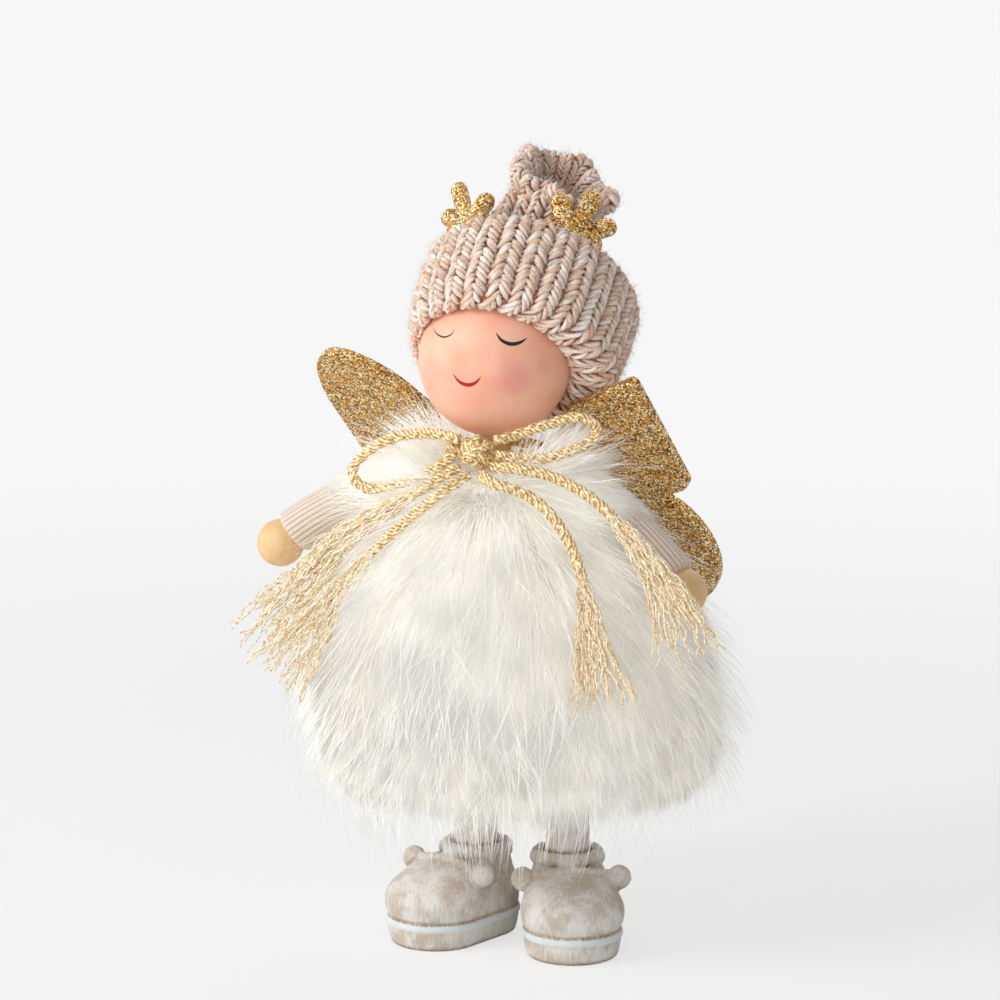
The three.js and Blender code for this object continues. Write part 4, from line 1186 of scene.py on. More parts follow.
def stitches(kind, columns, rows, lift, chance):
    """Knit: every row of a column has two plump legs that lean apart as they rise to the ridges beside it."""
    steps, sides = 8, 7
    grid = np.meshgrid(np.arange(columns), np.arange(rows), (-1, 1), indexing="ij")
    i, j, hand = (axis.ravel()[:, None] for axis in grid)
    t = np.linspace(0, 1, steps)[None]
    jitter = chance.normal(size=(len(i), 4)) * 0.05
    u = (i + 0.5 + hand * (0.05 + 0.44 * t) + jitter[:, :1] * 0.6) / columns
    v = (j + t * (1.9 + jitter[:, 1:2] * 3) + jitter[:, 2:3] * 2) / (rows + 0.9)
    here, normal, girth = hat_place(kind, u, v)
    swell = np.sin(math.pi * np.clip(t, 0.03, 0.97)) ** 0.6
    ridge = 0.2 + 0.8 * ease(t, 0.0, 0.75)
    centre = here + normal * (lift * (0.15 + 0.85 * swell) * ridge * (1 + 1.5 * jitter[:, 3:]))[..., None]
    way = unit(np.gradient(centre, axis=1))
    across = unit(np.cross(normal, way))
    out = np.cross(way, across)
    wide = girth / columns * 0.12 * (0.45 + 0.55 * swell)
    points, sets, corners = tubes(centre, across, out, wide, np.minimum(wide, 1.0) * 0.95, sides)
    tint = np.repeat(np.clip(0.42 + 0.34 * chance.normal(size=len(i)), 0, 1), steps * sides)
    rise = np.tile(np.repeat(0.15 + 0.85 * ridge[0], sides), len(i))
    return points, sets, corners, {"tint": tint, "rise": rise}


class ANGEL_OT_hat(bpy.types.Operator):
    """Knits the hat: cuff, crown and gathered tip, each stitch a pair of leaning legs, with loose fuzz."""

    bl_idname = "angel.hat"
    bl_label = "Knit hat"

    def execute(self, context):
        hat = context.scene.angel_hat
        yarn = knit_finish("marled_yarn", hat.light, hat.mid, hat.dark, 3.0)
        # The ground takes the middle and dark yarn: painted shade between the stitches.
        ground = knit_finish("shaded_marled_ground", hat.mid, hat.dark, hat.dark, 2.4)
        chance = np.random.default_rng(21)
        self.grounds(ground)
        parts = (("cuff", hat.columns, hat.rows, 1.0), ("crown", 18, 22, 0.9), ("tip", 16, 22, 0.8))
        for kind, columns, rows, lift in parts:
            points, sets, corners, marks = stitches(kind, columns, rows, lift, chance)
            stands_for = ("hat",) if kind == "cuff" else ()
            name = f"hat_{kind}_stitches"
            make_piece(name, points, sets, yarn, "body", stands_for, corners, marks)
        self.fuzz(yarn, chance)
        self.thread()
        return {"FINISHED"}

    def thread(self):
        """The drawing thread lies in the ground where the tip is narrowest: a ring of round section."""
        steps, sides = 96, 8
        thick, sunk = 0.6, 0.4
        here, normal, _ = hat_place("tip", np.arange(steps) / steps, np.full(steps, 0.3))
        up = unit(np.cross(normal, np.roll(here, -1, axis=0) - np.roll(here, 1, axis=0)))
        shape = rings(here - normal * sunk, normal, up, thick, thick, sides)
        faces, _ = ring_faces(steps, sides, close_rows=True)
        finish = plain_finish("gather_thread", paint(186, 150, 124), paint(150, 112, 88), 0.9)
        make_piece("hat_gather_ring", shape, [faces], finish, "body", ("hat_gather_thread",))

    def grounds(self, ground):
        """Closed grounds under the stitches, darker as painted shade: the cuff's ring, and the crown and tip
        turned to their axis.
        """
        levels, sides, sunk = 60, 108, 0.25
        u, v = np.meshgrid(np.arange(sides) / sides, np.linspace(0, 1, levels))
        for kind in HAT_OUTLINES:
            here, normal, _ = hat_place(kind, u, v)
            shape = here - normal * sunk
            close = kind == "cuff"
            faces, corners = ring_faces(levels, sides, close_rows=close)
            sets = [faces] if close else [faces, end_caps(levels, sides)]
            # A low rise puts the ground mostly in the dark yarn, more painted shade.
            marks = {"tint": np.full(levels * sides, 0.5), "rise": np.full(levels * sides, 0.25)}
            make_piece(f"hat_{kind}_ground", shape, sets, ground, "body", (), corners, marks)

    def fuzz(self, yarn, chance):
        """Short stray fibres that stand off the knit: half a step outwards, then bent to a random side."""
        for kind, count in FUZZ.items():
            root, out, _ = hat_place(kind, chance.uniform(0, 1, count), chance.uniform(0.16, 0.95, count))
            root = root + out * 0.9
            lean_to = unit(chance.normal(size=(count, 3)))
            reach = chance.uniform(0.8, 3.0, (count, 1))
            middle = root + unit(out * 0.6 + lean_to * 0.8) * reach * 0.5
            tip = middle + unit(out * 0.25 + lean_to) * reach * 0.6
            points, sets, rise = hairs(root, middle, tip, np.full(count, FUZZ_THICK), chance, SHORT_HAIR)
            tint = np.repeat(chance.uniform(0, 0.5, count), rise.shape[1])
            marks = {"tint": tint, "rise": np.ones_like(rise)}
            make_piece(f"hat_{kind}_fuzz", points, sets, yarn, "body", (), None, marks)


def on_head(longitude, latitude, height=0.0):
    """A point of the ball from degrees to the figure's left of its front and degrees above its middle."""
    a, b = np.radians(longitude), np.radians(latitude)
    out = np.stack([np.sin(a) * np.cos(b), -np.cos(a) * np.cos(b), np.sin(b)], axis=-1)
    return HEAD + out * (HEAD_RADIUS + height)


def brush_stroke(points, width, power):
    """A painted stroke on the ball: a spline in degrees, as wide as width * sin(pi t)^power."""
    steps = 48
    line = through(points, steps)
    centre = on_head(line[:, 0], line[:, 1])
    out = unit(centre - HEAD)
    way = unit(np.gradient(centre, axis=0))
    side = np.cross(out, way)
    half = width / 2 * np.sin(math.pi * np.linspace(0.02, 0.98, steps)) ** power
    across = np.array([-1, -0.5, 0, 0.5, 1])
    lift = np.array([-0.12, 0.035, 0.05, 0.035, -0.12])
    top = (
        centre[:, None]
        + side[:, None] * (half[:, None] * across)[..., None]
        + out[:, None] * lift[None, :, None]
    )
    under = centre[:, None] + side[:, None] * (half[:, None] * across[::-1])[..., None] - out[:, None] * 0.25
    points = np.concatenate([top, under], axis=1)
    sides = 2 * len(across)
    faces, _ = ring_faces(steps, sides)
    return points, [faces, end_caps(steps, sides)]


# Strokes of the painted face: their places in degrees to the figure's left and up, and their width.
EYE_RIGHT = [(-44.7, 27.6), (-34.8, 23.9), (-25.2, 22.5), (-18.6, 25.0), (-16.2, 29.6)]
EYE_LEFT = [(20.8, 27.8), (25.5, 22.0), (32.5, 19.2), (39.9, 20.1), (46.5, 23.2)]
MOUTH = [(-12.7, -4.0), (-7.9, -9.3), (-1.1, -11.6), (4.9, -9.8), (9.6, -5.1)]


class ANGEL_OT_head(bpy.types.Operator):
    """Turns and paints the ball head: peach skin, closed eyes, a smile and blush."""

    bl_idname = "angel.head"
    bl_label = "Painted head"

    def execute(self, context):
        face = context.scene.angel_face
        levels, sides = 72, 128
        turn = np.linspace(-math.pi / 2 + 0.24, math.pi / 2, levels)
        profile = np.stack([HEAD_RADIUS * np.cos(turn), HEAD_RADIUS * np.sin(turn)], 1)
        bore = np.array([[0.0, -6.0], [4.3, -6.0], [4.3, profile[0, 1] + 0.2]])
        shape = turned(np.concatenate([bore, profile]), sides) + HEAD
        faces, _ = ring_faces(len(bore) + levels, sides)
        make_piece("head_skin", shape, [faces], skin_finish(face), "body", ("head_ball",), weld=True)
        black = plain_finish("eye_paint", paint(22, 18, 18), paint(34, 28, 26), 0.35)
        red = plain_finish("mouth_paint", paint(200, 22, 30), paint(176, 14, 24), 0.35)
        strokes = (
            ("right_eye_line", EYE_RIGHT, 0.66, black),
            ("left_eye_line", EYE_LEFT, 1.45, black),
            ("mouth_line", MOUTH, 1.5, red),
        )
        for name, points, width, colour in strokes:
            shape, sets = brush_stroke(points, width, 0.8)
            make_piece(name, shape, sets, colour, "body")
        return {"FINISHED"}


def bezier(*points, steps=16):
    """A curve of two, three or four control points, its first point left out."""
    t = np.linspace(0, 1, steps + 1)[1:, None]
    points = [np.asarray(point, float) for point in points]
    while len(points) > 1:
        points = [a + (b - a) * t for a, b in zip(points, points[1:])]
    return points[0]


# Corners of half of the wing's outline, across and up from its root.
WING_NOTCH = (0.0, 23.0)
WING_SHOULDER = np.array([25.0, 47.0])
WING_TIP = np.array([49.7, 59.5])
WING_CORNER = np.array([51.6, 22.0])
WING_WAIST = np.array([41.2, 17.3])
WING_FOOT = (30, -25.5)

# How the wing is set behind the back: its root's height, gap to the fur, lean forward and turn.
WING_HEIGHT = 99.5
WING_GAP = 5.3
WING_LEAN = math.radians(38)
WING_TURN = math.radians(-16)


def wing_outline():
    """The butterfly from notch to foot: a half with a cornered tip, then a mirrored one with a round leaf."""

    def rounded(before, at, after):
        into, away = at + unit(before - at) * 3, at + unit(after - at) * 3
        return np.concatenate([[into], bezier(into, at, away, steps=8)])

    def half(tip_edge):
        return np.concatenate([
            [WING_NOTCH],
            bezier(WING_NOTCH, (15, 31), WING_SHOULDER),
            tip_edge,
            rounded(WING_TIP, WING_CORNER, WING_WAIST),
            [WING_WAIST],
            bezier(WING_WAIST, (51.7, 12.3), (56.7, -16), WING_FOOT, steps=26),
            bezier(WING_FOOT, (9, -30), (0, -9), steps=14),
        ])

    cornered = half(rounded(WING_SHOULDER, WING_TIP, WING_CORNER))
    leaf_way = WING_SHOULDER + np.array([8, 11])
    leaf = half(bezier(WING_SHOULDER, leaf_way, (53.5, 68), (53.5, 40.75), steps=32))
    return np.concatenate([cornered, leaf[-2:0:-1] * np.array([-1, 1])])


def wing_frame(points):
    """From the plate's frame, upright at its root, to the figure: leaned, turned and set behind it."""
    line, _ = bell_line(0)
    reach = np.interp(WING_HEIGHT, line[:, 1], line[:, 0])
    root = lean(np.array(WING_HEIGHT)) + np.array([0, reach + WING_GAP, WING_HEIGHT])
    x, y, z = points[..., 0], points[..., 1], points[..., 2]
    y, z = turn_pair(y, z, WING_LEAN)
    x, y = turn_pair(x, y, WING_TURN)
    return root + np.stack([x, y, z], axis=-1)


# Ends of each antler's lobes: across and up from its foot, and the lobe's radius. The turn is round the hat.
ANTLERS = {
    "left_antler": (50, [
        (-5.4, 8.4, 2.7), (1.85, 13.3, 2.6), (8.0, 8.5, 2.5),
        (-5.0, 1.0, 2.6), (6.0, 2.0, 2.6), (0.0, -6.0, 2.6),
    ]),
    "right_antler": (118, [
        (-6.1, 13.75, 2.3), (-7.8, 6.1, 2.4), (4.6, 6.4, 2.6),
        (-4.5, 1.0, 2.6), (4.0, 1.5, 2.6), (0.0, -6.0, 2.6),
    ]),
}
ANTLER_TILT = math.radians(9)
ANTLER_SEAT = (2.2, 23.2, 24.5)


class ANGEL_OT_wing(bpy.types.Operator):
    """Cuts the glitter wing with softened edges, and shapes the two glitter antlers."""

    bl_idname = "angel.wing"
    bl_label = "Wing and antlers"

    def execute(self, context):
        # Glitter colours: dark brown as painted shade, gold, and near white as painted glints.
        gold = paint(80, 42, 2), paint(212, 152, 48), paint(255, 246, 206)
        glitter = glitter_finish("gold_glitter", *gold)
        self.plate(glitter)
        for name, (turn, lobes) in ANTLERS.items():
            self.antler(name, turn, lobes, glitter)
        return {"FINISHED"}

    def plate(self, glitter):
        """The wing: its outline at each step of a rounded edge, drawn in by 1 - sin a, as deep as cos a."""
        half, edge = 1.0, 0.5
        outline = wing_outline()
        way = unit(np.roll(outline, -1, axis=0) - np.roll(outline, 1, axis=0))
        inward = np.stack([-way[:, 1], way[:, 0]], 1)
        x, z = outline[:, 0], outline[:, 1]
        area = np.sum(x * np.roll(z, -1) - np.roll(x, -1) * z)
        inward = inward * np.sign(area)
        quarter = np.radians([0, 30, 60, 90])
        inset = edge * (1 - np.sin(quarter))
        inset = np.concatenate([inset, inset[::-1]])
        depth = half + edge * np.cos(quarter)
        depth = np.concatenate([depth, -depth[::-1]])
        levels = len(depth)
        flat = outline[None] + inward[None] * inset[:, None, None]
        deep = np.broadcast_to(-depth[:, None], flat.shape[:2])
        shape = np.stack([flat[..., 0], deep, flat[..., 1]], axis=-1)
        faces, _ = ring_faces(levels, len(outline))
        sets = [faces, end_caps(levels, len(outline))]
        wing = make_piece(
            "wing_glitter", wing_frame(shape), sets, glitter, "body", ("wing_plate",)
        )
        wing.data.polygons.foreach_set("use_smooth", np.zeros(len(wing.data.polygons), bool))

    def antler(self, name, turn, ends, glitter):
        """Fat lobes and a stem, each a capsule that narrows to its foot, fused by a fine remesh."""
        t = np.linspace(0, 1, 24)
        front = np.array([0, 1.0, 0])
        points, sets, shift = [], [[], []], 0
        for x, z, radius in ends:
            start = np.array([0, 0, 0.6])
            end = np.array([x, 0, z])
            way = unit(end - start)
            length = np.linalg.norm(end - start) + radius
            swell = 0.86 + 0.14 * ease(t, 0.1, 0.7)
            cap = dome_of(np.clip((t * length - (length - radius)) / radius, 0, 1))
            foot = dome_of(np.clip(1 - t * length / radius, 0, 1))
            centre = (start + way * (t * length)[:, None])[None]
            across = np.broadcast_to(np.cross(way, front), centre.shape)
            out = np.broadcast_to(front, centre.shape)
            wide = (radius * swell * cap * foot)[None]
            shape, faces, _ = tubes(centre, across, out, wide, wide * 0.85, 20)
            points.append(shape)
            for k in range(2):
                sets[k].append(faces[k] + shift)
            shift += len(shape)
        local = np.concatenate(points)
        x, y, z = local[:, 0], local[:, 1], local[:, 2]
        aside, ahead, above = ANTLER_SEAT
        y, z = turn_pair(y, z, ANTLER_TILT)
        x, y = turn_pair(x, y - ahead, math.radians(90 - turn))
        shape = in_hat(np.stack([x + aside, y, z + above], axis=-1))
        joined = [np.concatenate(group) for group in sets]
        piece = make_piece(f"{name}_glitter", shape, joined, glitter, "body", (name,))
        fuse(piece, voxel=0.28, smoothing=4)


def fuse(piece, voxel, smoothing):
    """Joins the overlapping shells of a piece into one skin and evens it."""
    remesh = piece.modifiers.new("fuse", "REMESH")
    remesh.mode = "VOXEL"
    remesh.voxel_size = voxel * MM
    remesh.use_smooth_shade = True
    relax = piece.modifiers.new("even", "SMOOTH")
    relax.factor = 0.5
    relax.iterations = smoothing
    view = bpy.context.evaluated_depsgraph_get()
    baked = bpy.data.meshes.new_from_object(piece.evaluated_get(view))
    piece.modifiers.clear()
    piece.data = baked


def arm_line(name):
    """The arm's middle line, a quadratic curve from shoulder to bead with an arch, and the bead's middle."""
    side = SIDES[name]
    joints = frame["record"]["behaviour"]["joints"]
    joint = next(entry for entry in joints if entry["name"] == f"{name}_arm_lift")
    shoulder = np.array(joint["pos_m"]) / MM - FEET
    out = np.array([side * math.cos(ARM_YAW), -math.sin(ARM_YAW), 0])
    drop = math.radians(ARM_DROOP[name])
    hand = shoulder + out * ARM_REACH * math.cos(drop) - UP * (ARM_REACH * math.sin(drop))
    bend = (shoulder + hand) / 2 + UP * ARM_ARCH
    return bezier(shoulder, bend, hand, steps=80), hand


class ANGEL_OT_arms(bpy.types.Operator):
    """Knits the two sleeves and turns the bead hands."""

    bl_idname = "angel.arms"
    bl_label = "Arms"

    def execute(self, context):
        sleeve = self.sleeve_finish()
        bead = wood_finish("bead_wood", paint(236, 200, 150), paint(222, 180, 126), (1.0, 1.0, 0.25))
        levels, sides = 40, 64
        turn = np.linspace(-math.pi / 2, math.pi / 2, levels)
        profile = np.stack([BEAD_RADIUS * np.cos(turn), BEAD_RADIUS * np.sin(turn)], 1)
        faces, _ = ring_faces(levels, sides)
        for name in SIDES:
            line, hand = arm_line(name)
            self.sleeve(name, line, sleeve)
            shape = turned(profile, sides) + hand
            stands_for = (f"{name}_hand",)
            make_piece(
                f"{name}_bead", shape, [faces], bead, f"{name}_arm", stands_for, weld=True
            )
        return {"FINISHED"}

    def sleeve_finish(self):
        """Fine pale knit, darker and pinker in its valleys as painted shade."""
        sheet = Sheet("sleeve_knit")
        # Painted shade: the valleys between the ribs take the darker, pinker colour and the crests the pale
        # one.
        colour = sheet.blend(sheet.mark("rise").step(0.1, 0.8), paint(204, 174, 152), paint(230, 219, 206))
        fleck = sheet.noise(2.6, 3.0)
        colour = sheet.blend(fleck.step(0.5, 0.75) * 0.4, colour, paint(222, 196, 176))
        grain = sheet.relief(fleck, 0.5, 0.3)
        return sheet.done(colour, 0.95, grain, Sheen_Weight=0.3, Specular_IOR_Level=0.1)

    def sleeve(self, name, line, finish):
        """A tube along the arm with raised columns of small stitches: |cos| ribs times a wave along them."""
        steps, sides = 150, 162
        ribs_round, stitch = 13.5, 1.1
        into_body, short_of_bead = 5.0, 3.2
        way = along(line)
        part = np.linspace(-into_body / way[-1], 1 - short_of_bead / way[-1], steps)
        centre = np.stack([np.interp(part, way / way[-1], line[:, k]) for k in range(3)], 1)
        back = unit(line[1] - line[0])
        centre = centre + np.minimum(part, 0)[:, None] * way[-1] * back
        _, across, out = sweep_frame(centre, UP)
        level = np.linspace(0, 1, steps)
        dome = dome_of(np.clip(1 - level / 0.23, 0, 1))
        close = dome_of(np.clip(1 - (1 - level) / 0.045, 0, 1), 0.12)
        radius = (5.0 + 0.8 * level**2) * dome * close
        wave = np.cos(np.arange(sides) * 2 * math.pi / sides * ribs_round)
        travel = (part * way[-1])[:, None]
        ribs = np.abs(wave)[None] ** 0.7
        pearls = 0.5 + 0.5 * np.cos(2 * math.pi * travel / stitch + 1.4 * np.sign(wave)[None])
        rise = ribs * (0.7 + 0.3 * pearls)
        radius = radius[:, None] + 0.3 * rise * dome[:, None]
        points = rings(centre, across, out, radius, radius, sides)
        faces, _ = ring_faces(steps, sides)
        make_piece(
            f"{name}_sleeve_knit", points, [faces, end_caps(steps, sides)], finish, f"{name}_arm",
            (f"{name}_sleeve",), None, {"rise": rise},
        )


def boot_ring(heel, toe, reach, count=112):
    """Hull of a heel circle and a toe circle ahead of it: at each angle the further of the two."""
    turn = (np.arange(count) + 0.5) * 2 * math.pi / count
    ahead = np.sin(turn) * reach + toe > heel
    radius = np.where(ahead, toe, heel)
    return np.stack([radius * np.cos(turn), radius * np.sin(turn) + np.where(ahead, reach, 0)], 1)


# A boot's turn outwards, and the rings of its sole and welt: heights and how far each is drawn in.
BOOT_TURN = math.radians(24)
SOLE_RINGS = ((0.0, 1.6), (0.3, 1.15), (0.8, 0.9), (2.4, 0.5), (4.6, 0.15), (5.6, 0.5))
WELT_RINGS = (
    (WELT_FOOT, 0.6), (WELT_FOOT + 0.2, 0.0), (WELT_FOOT + 0.5, -0.25),
    (WELT_TOP, -0.25), (WELT_TOP + 0.3, 0.2), (WELT_TOP + 0.6, 1.0),
)
UPPER_FOOT = 6.6
UPPER_HEIGHT = 13.5

# The legs' dowels: radius and height of each corner of half their section.
DOWEL = np.array([[0, 11.6], [5.2, 11.6], [5.5, 12], [5.5, 44.6], [5.2, 45], [0, 45]], float)


class ANGEL_OT_boots(bpy.types.Operator):
    """Casts the two boots in one skin each, and turns the legs."""

    bl_idname = "angel.boots"
    bl_label = "Boots and legs"

    def execute(self, context):
        cast = paint(190, 176, 160), paint(222, 219, 214), paint(142, 112, 84)
        resin = wash_finish("cast_whitewash", *cast, welt=True)
        lime = paint(206, 198, 186), paint(232, 230, 225), paint(160, 138, 112)
        limed = wash_finish("limed_wood", *lime, welt=False)
        sides = 64
        levels = np.concatenate([even(DOWEL[k:k + 2], 12) for k in range(len(DOWEL) - 1)])
        faces, _ = ring_faces(len(levels), sides)
        for name, side in SIDES.items():
            self.boot(side, name, resin)
            shape = turned(levels, sides) + np.array([side * LEG_X, 0, 0])
            stands_for = (f"{name}_leg",)
            make_piece(f"{name}_dowel", shape, [faces], limed, "body", stands_for, weld=True)
        return {"FINISHED"}

    def boot(self, side, name, resin):
        """Sole, welt and upper are lofts of the hull; collar, ties and pompoms are added and fused."""
        shells = [self.band(SOLE_RINGS), self.band(WELT_RINGS), self.upper(), self.collar()]
        for hand in (-1, 1):
            shells += self.tie(hand)
        points, sets, shift = [], {}, 0
        for shape, faces in shells:
            for group in faces:
                sets.setdefault(group.shape[1], []).append(group + shift)
            points.append(shape.reshape(-1, 3))
            shift += len(points[-1])
        local = np.concatenate(points)
        x, y = turn_pair(local[:, 0], local[:, 1], math.pi + side * BOOT_TURN)
        shape = np.stack([x + side * LEG_X, y, local[:, 2]], 1)
        joined = [np.concatenate(group) for group in sets.values()]
        stands_for = (f"{name}_boot",)
        piece = make_piece(f"{name}_boot_cast", shape, joined, resin, "body", stands_for)
        fuse(piece, voxel=0.4, smoothing=3)

    def loft(self, outlines):
        """Rings of one outline each at its own height, closed below and above."""
        shape = np.stack([np.insert(ring, 2, height, axis=1) for ring, height in outlines])
        faces, _ = ring_faces(len(outlines), shape.shape[1])
        return shape, [faces, end_caps(len(outlines), shape.shape[1])]

    def band(self, levels):
        """A loft of the hull's outline, drawn in by its own amount at each height."""
        outlines = []
        for height, inset in levels:
            outlines.append((boot_ring(HEEL_RADIUS - inset, BALL_RADIUS - inset, BALL_REACH), height))
        return self.loft(outlines)

    def upper(self):
        """A loft that swells, then narrows to the ankle: the reach shrinks as the root of 1 - up^5."""
        heel_foot, heel_top = 10.4, 8.5
        toe_foot, toe_top = 11.6, 8.3
        outlines = []
        for up in np.sin(np.linspace(0, math.pi / 2, 22)):
            swell = 1.5 * math.sin(math.pi * min(1, up * 1.4)) ** 0.8
            heel = heel_foot + (heel_top - heel_foot) * up**2 + swell * 0.5
            toe = toe_foot + (toe_top - toe_foot) * up**4 + swell
            reach = BALL_REACH * math.sqrt(max(0.0, 1 - up**5))
            outlines.append((boot_ring(heel, toe, reach), UPPER_FOOT + up * UPPER_HEIGHT))
        return self.loft(outlines)

    def collar(self):
        """A rolled ring: a round section carried round the ankle, with a knotted wave on its outside."""
        sides, steps = 24, 96
        ring, height, wide, high = 7.6, 21.8, 1.75, 2.0
        turn = np.arange(sides) * 2 * math.pi / sides
        section = np.stack([ring + wide * np.cos(turn), height + high * np.sin(turn)], 1)
        shape = turned(section, steps)
        angle = np.arange(steps) * 2 * math.pi / steps
        shape[..., :2] *= (1 + 0.028 * np.sin(16 * angle) + 0.02 * np.sin(9 * angle + 1))[None, :, None]
        faces, _ = ring_faces(sides, steps, close_rows=True)
        return shape, [faces]

    def tie(self, hand):
        """A tie runs from the middle of the instep to a pompom with a bumpy skin."""
        reach, steps = 15.8, 24
        turn = math.radians(90 - hand * 50)
        end = np.array([reach * math.cos(turn), reach * math.sin(turn), 18.4])
        start = np.array([0, 9.4, 19.8])
        bow = (start + end) / 2 + np.array([0, 1.6, 1.2])
        line = bezier(start, bow, end, steps=steps)[None]
        _, across, out = sweep_frame(line, UP)
        wide = 1.25 + 0.26 * np.sin(np.arange(steps) * 1.7)[None]
        strap, faces, _ = tubes(line, across, out, wide, wide, 14)
        levels, sides, radius = 26, 40, 3.0
        latitude = np.linspace(-math.pi / 2, math.pi / 2, levels)[:, None]
        longitude = np.arange(sides) * 2 * math.pi / sides
        bump = radius + 0.34 * np.sin(9 * longitude + 2)[None] * np.sin(10 * latitude)
        pompom = np.stack([
            bump * np.cos(latitude) * np.cos(longitude),
            bump * np.cos(latitude) * np.sin(longitude),
            bump * np.sin(latitude) * np.ones(sides),
        ], axis=-1) + end
        ball_faces, _ = ring_faces(levels, sides)
        return [(strap, faces), (pompom, [ball_faces, end_caps(levels, sides)])]


class ANGEL_OT_inside(bpy.types.Operator):
    """Gives the hidden wooden pieces, the felt pad and the arms' cords their finishes."""

    bl_idname = "angel.inside"
    bl_label = "Inner pieces"

    def execute(self, context):
        wood = wood_finish("plain_wood", paint(214, 178, 130), paint(184, 142, 92), (0.25, 1.0, 1.0))
        felt = plain_finish("wing_felt", paint(232, 224, 208), paint(214, 202, 182), 0.98, 1.8)
        cotton = plain_finish("arm_cotton", paint(234, 226, 212), paint(216, 204, 186), 0.95, 1.8)
        finishes = {
            "base_disc": wood,
            "neck_peg": wood,
            "wing_pad": felt,
            "left_arm_cord": cotton,
            "right_arm_cord": cotton,
        }
        for node, finish in finishes.items():
            mesh = frame["nodes"][node].data
            mesh.materials.clear()
            mesh.materials.append(finish)
        return {"FINISHED"}


# The background's colour, and each lamp's place and width in metres and power in watts.
PALE = (0.93, 0.93, 0.93, 1)
LAMPS = (
    ("key", (-0.62, -0.72, 0.72), 0.5, 6.7),
    ("side", (-1.0, -0.2, 0.4), 1.0, 2.4),
    ("front", (0.1, -1.2, 0.2), 0.8, 3.6),
    ("back", (0.1, 0.8, 0.7), 0.6, 1.2),
)


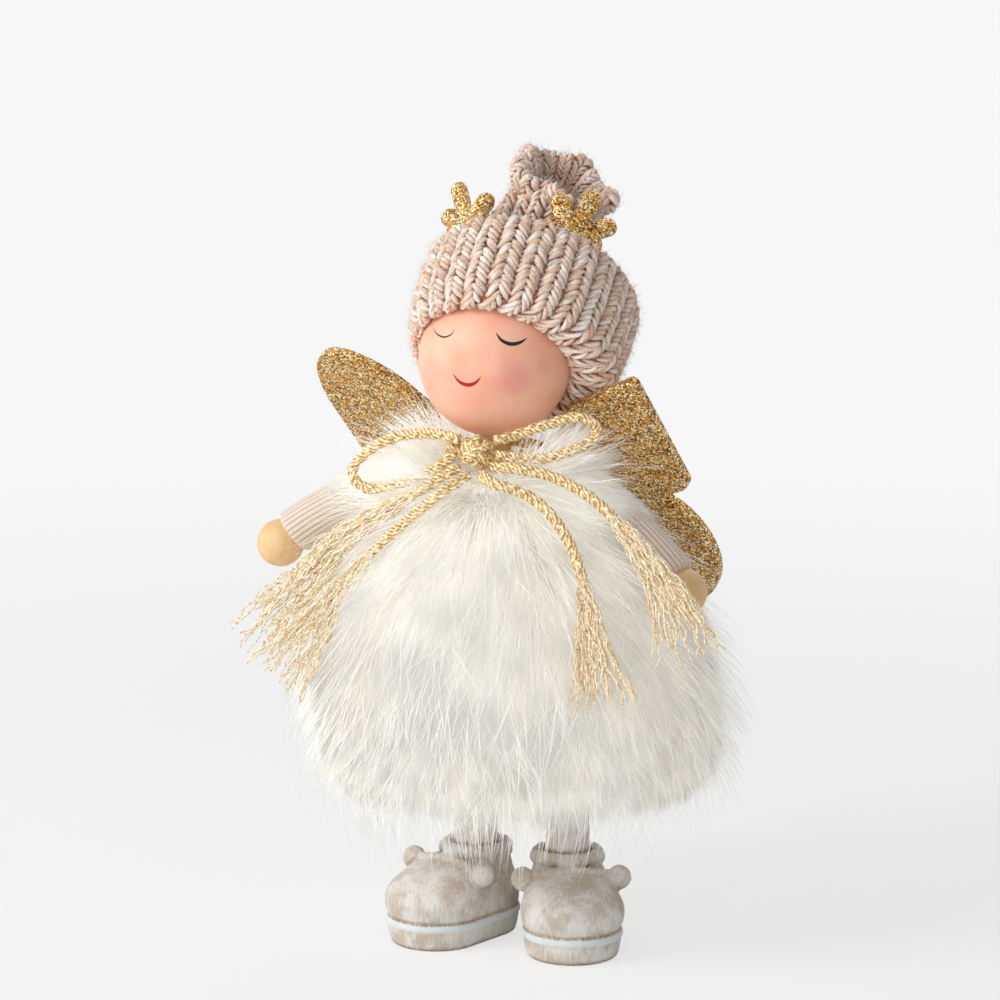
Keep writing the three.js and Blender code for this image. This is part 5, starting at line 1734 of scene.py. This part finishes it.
class ANGEL_OT_stage(bpy.types.Operator):
    """Sets the pale floor, the soft lights and the camera at the photograph's angle."""

    bl_idname = "angel.stage"
    bl_label = "Stage"

    def execute(self, context):
        scene = context.scene
        scene.view_settings.view_transform = "Standard"
        self.camera(scene)
        self.floor(scene)
        self.lights(scene)
        return {"FINISHED"}

    def camera(self, scene):
        """A long lens a metre from its aim, raised by an elevation and carried round by an azimuth."""
        aim = np.array([-5.2, -1.9, 112.0])
        azimuth, elevation = math.radians(20), math.radians(10)
        lens = bpy.data.cameras.new("camera")
        lens.lens = 144
        lens.sensor_width = 36
        lens.dof.use_dof = False
        camera = bpy.data.objects.new("camera", lens)
        scene.collection.objects.link(camera)
        level = math.cos(elevation)
        back = np.array([math.sin(azimuth) * level, -math.cos(azimuth) * level, math.sin(elevation)])
        camera.location = row(aim) + back
        camera.rotation_euler = (math.pi / 2 - elevation, 0, azimuth)
        scene.camera = camera

    def floor(self, scene):
        """A flat floor that shows the pale background, more of it far away, and keeps shadows near."""
        size = 4.0
        sheet = Sheet("pale_floor")
        place = sheet.wire(sheet.node("ShaderNodeTexCoord"), "Object")
        length = sheet.node("ShaderNodeVectorMath", {"operation": "LENGTH"}, {0: place})
        far = sheet.wire(length, "Value").step(0.22, 0.75)
        matte = sheet.node("ShaderNodeBsdfDiffuse", None, {"Color": (0.9, 0.9, 0.9, 1)})
        glow = sheet.node("ShaderNodeEmission", None, {"Color": PALE, "Strength": 1.0})
        self.mixed(sheet, (far * 0.3 + 0.7) * sheet.seen(), matte, glow, "ShaderNodeOutputMaterial")
        mesh = bpy.data.meshes.new("floor")
        corners = [(-size, -size, 0), (size, -size, 0), (size, size, 0), (-size, size, 0)]
        mesh.from_pydata(corners, [], [(0, 1, 2, 3)])
        mesh.materials.append(sheet.material)
        floor = bpy.data.objects.new("floor", mesh)
        scene.collection.objects.link(floor)

    def mixed(self, sheet, factor, first, second, output):
        """Joins a mix of two shaders to the sheet's output."""
        inputs = {0: factor, 1: sheet.wire(first), 2: sheet.wire(second)}
        mix = sheet.node("ShaderNodeMixShader", None, inputs)
        sheet.node(output, None, {"Surface": sheet.wire(mix)})

    def lights(self, scene):
        """A dim even world that looks pale where it is seen, and four soft round lamps aimed at the body."""
        sheet = Sheet("studio", world=True)
        soft = sheet.node("ShaderNodeBackground", None, {"Color": (1, 1, 1, 1), "Strength": 0.4})
        clear = sheet.node("ShaderNodeBackground", None, {"Color": PALE, "Strength": 1.0})
        self.mixed(sheet, sheet.seen(), soft, clear, "ShaderNodeOutputWorld")
        scene.world = sheet.material
        target = UP * 0.1
        for name, place, size, power in LAMPS:
            lamp = bpy.data.lights.new(name, "AREA")
            lamp.shape = "DISK"
            lamp.size = size
            lamp.energy = power
            light = bpy.data.objects.new(name, lamp)
            scene.collection.objects.link(light)
            light.location = place
            towards = target - np.array(place)
            flat = math.hypot(towards[0], towards[1])
            light.rotation_euler = (math.atan2(flat, -towards[2]), 0, math.atan2(-towards[0], towards[1]))


class ANGEL_PT_panel(bpy.types.Panel):
    """Lists the steps that dress the angel."""

    bl_idname = "ANGEL_PT_panel"
    bl_label = "Plush angel"
    bl_space_type = "VIEW_3D"
    bl_region_type = "UI"
    bl_category = "Angel"

    def draw(self, context):
        for step in STEPS:
            self.layout.operator(step.bl_idname)
        for group in GROUPS:
            settings = getattr(context.scene, group)
            for name in settings.bl_rna.properties.keys():
                if name not in ("rna_type", "name"):
                    self.layout.prop(settings, name)


GROUPS = {"angel_pile": AngelPile, "angel_hat": AngelHat, "angel_face": AngelFace, "angel_cord": AngelCord}
STEPS = (
    ANGEL_OT_stage,
    ANGEL_OT_bow,
    ANGEL_OT_fur,
    ANGEL_OT_hat,
    ANGEL_OT_head,
    ANGEL_OT_wing,
    ANGEL_OT_arms,
    ANGEL_OT_boots,
    ANGEL_OT_inside,
)


def register():
    """Adds the settings, the steps and the panel to Blender."""
    for group, settings in GROUPS.items():
        bpy.utils.register_class(settings)
        setattr(bpy.types.Scene, group, bpy.props.PointerProperty(type=settings))
    for step in (*STEPS, ANGEL_PT_panel):
        bpy.utils.register_class(step)


def unregister():
    """Takes the panel, the steps and the settings out again."""
    for step in (ANGEL_PT_panel, *STEPS):
        bpy.utils.unregister_class(step)
    for group, settings in GROUPS.items():
        delattr(bpy.types.Scene, group)
        bpy.utils.unregister_class(settings)


def main():
    """Dresses the frame step by step."""
    register()
    bpy.ops.angel.stage()
    bpy.ops.angel.bow()
    bpy.ops.angel.fur()
    bpy.ops.angel.hat()
    bpy.ops.angel.head()
    bpy.ops.angel.wing()
    bpy.ops.angel.arms()
    bpy.ops.angel.boots()
    bpy.ops.angel.inside()


if __name__ == "__main__":
    main()
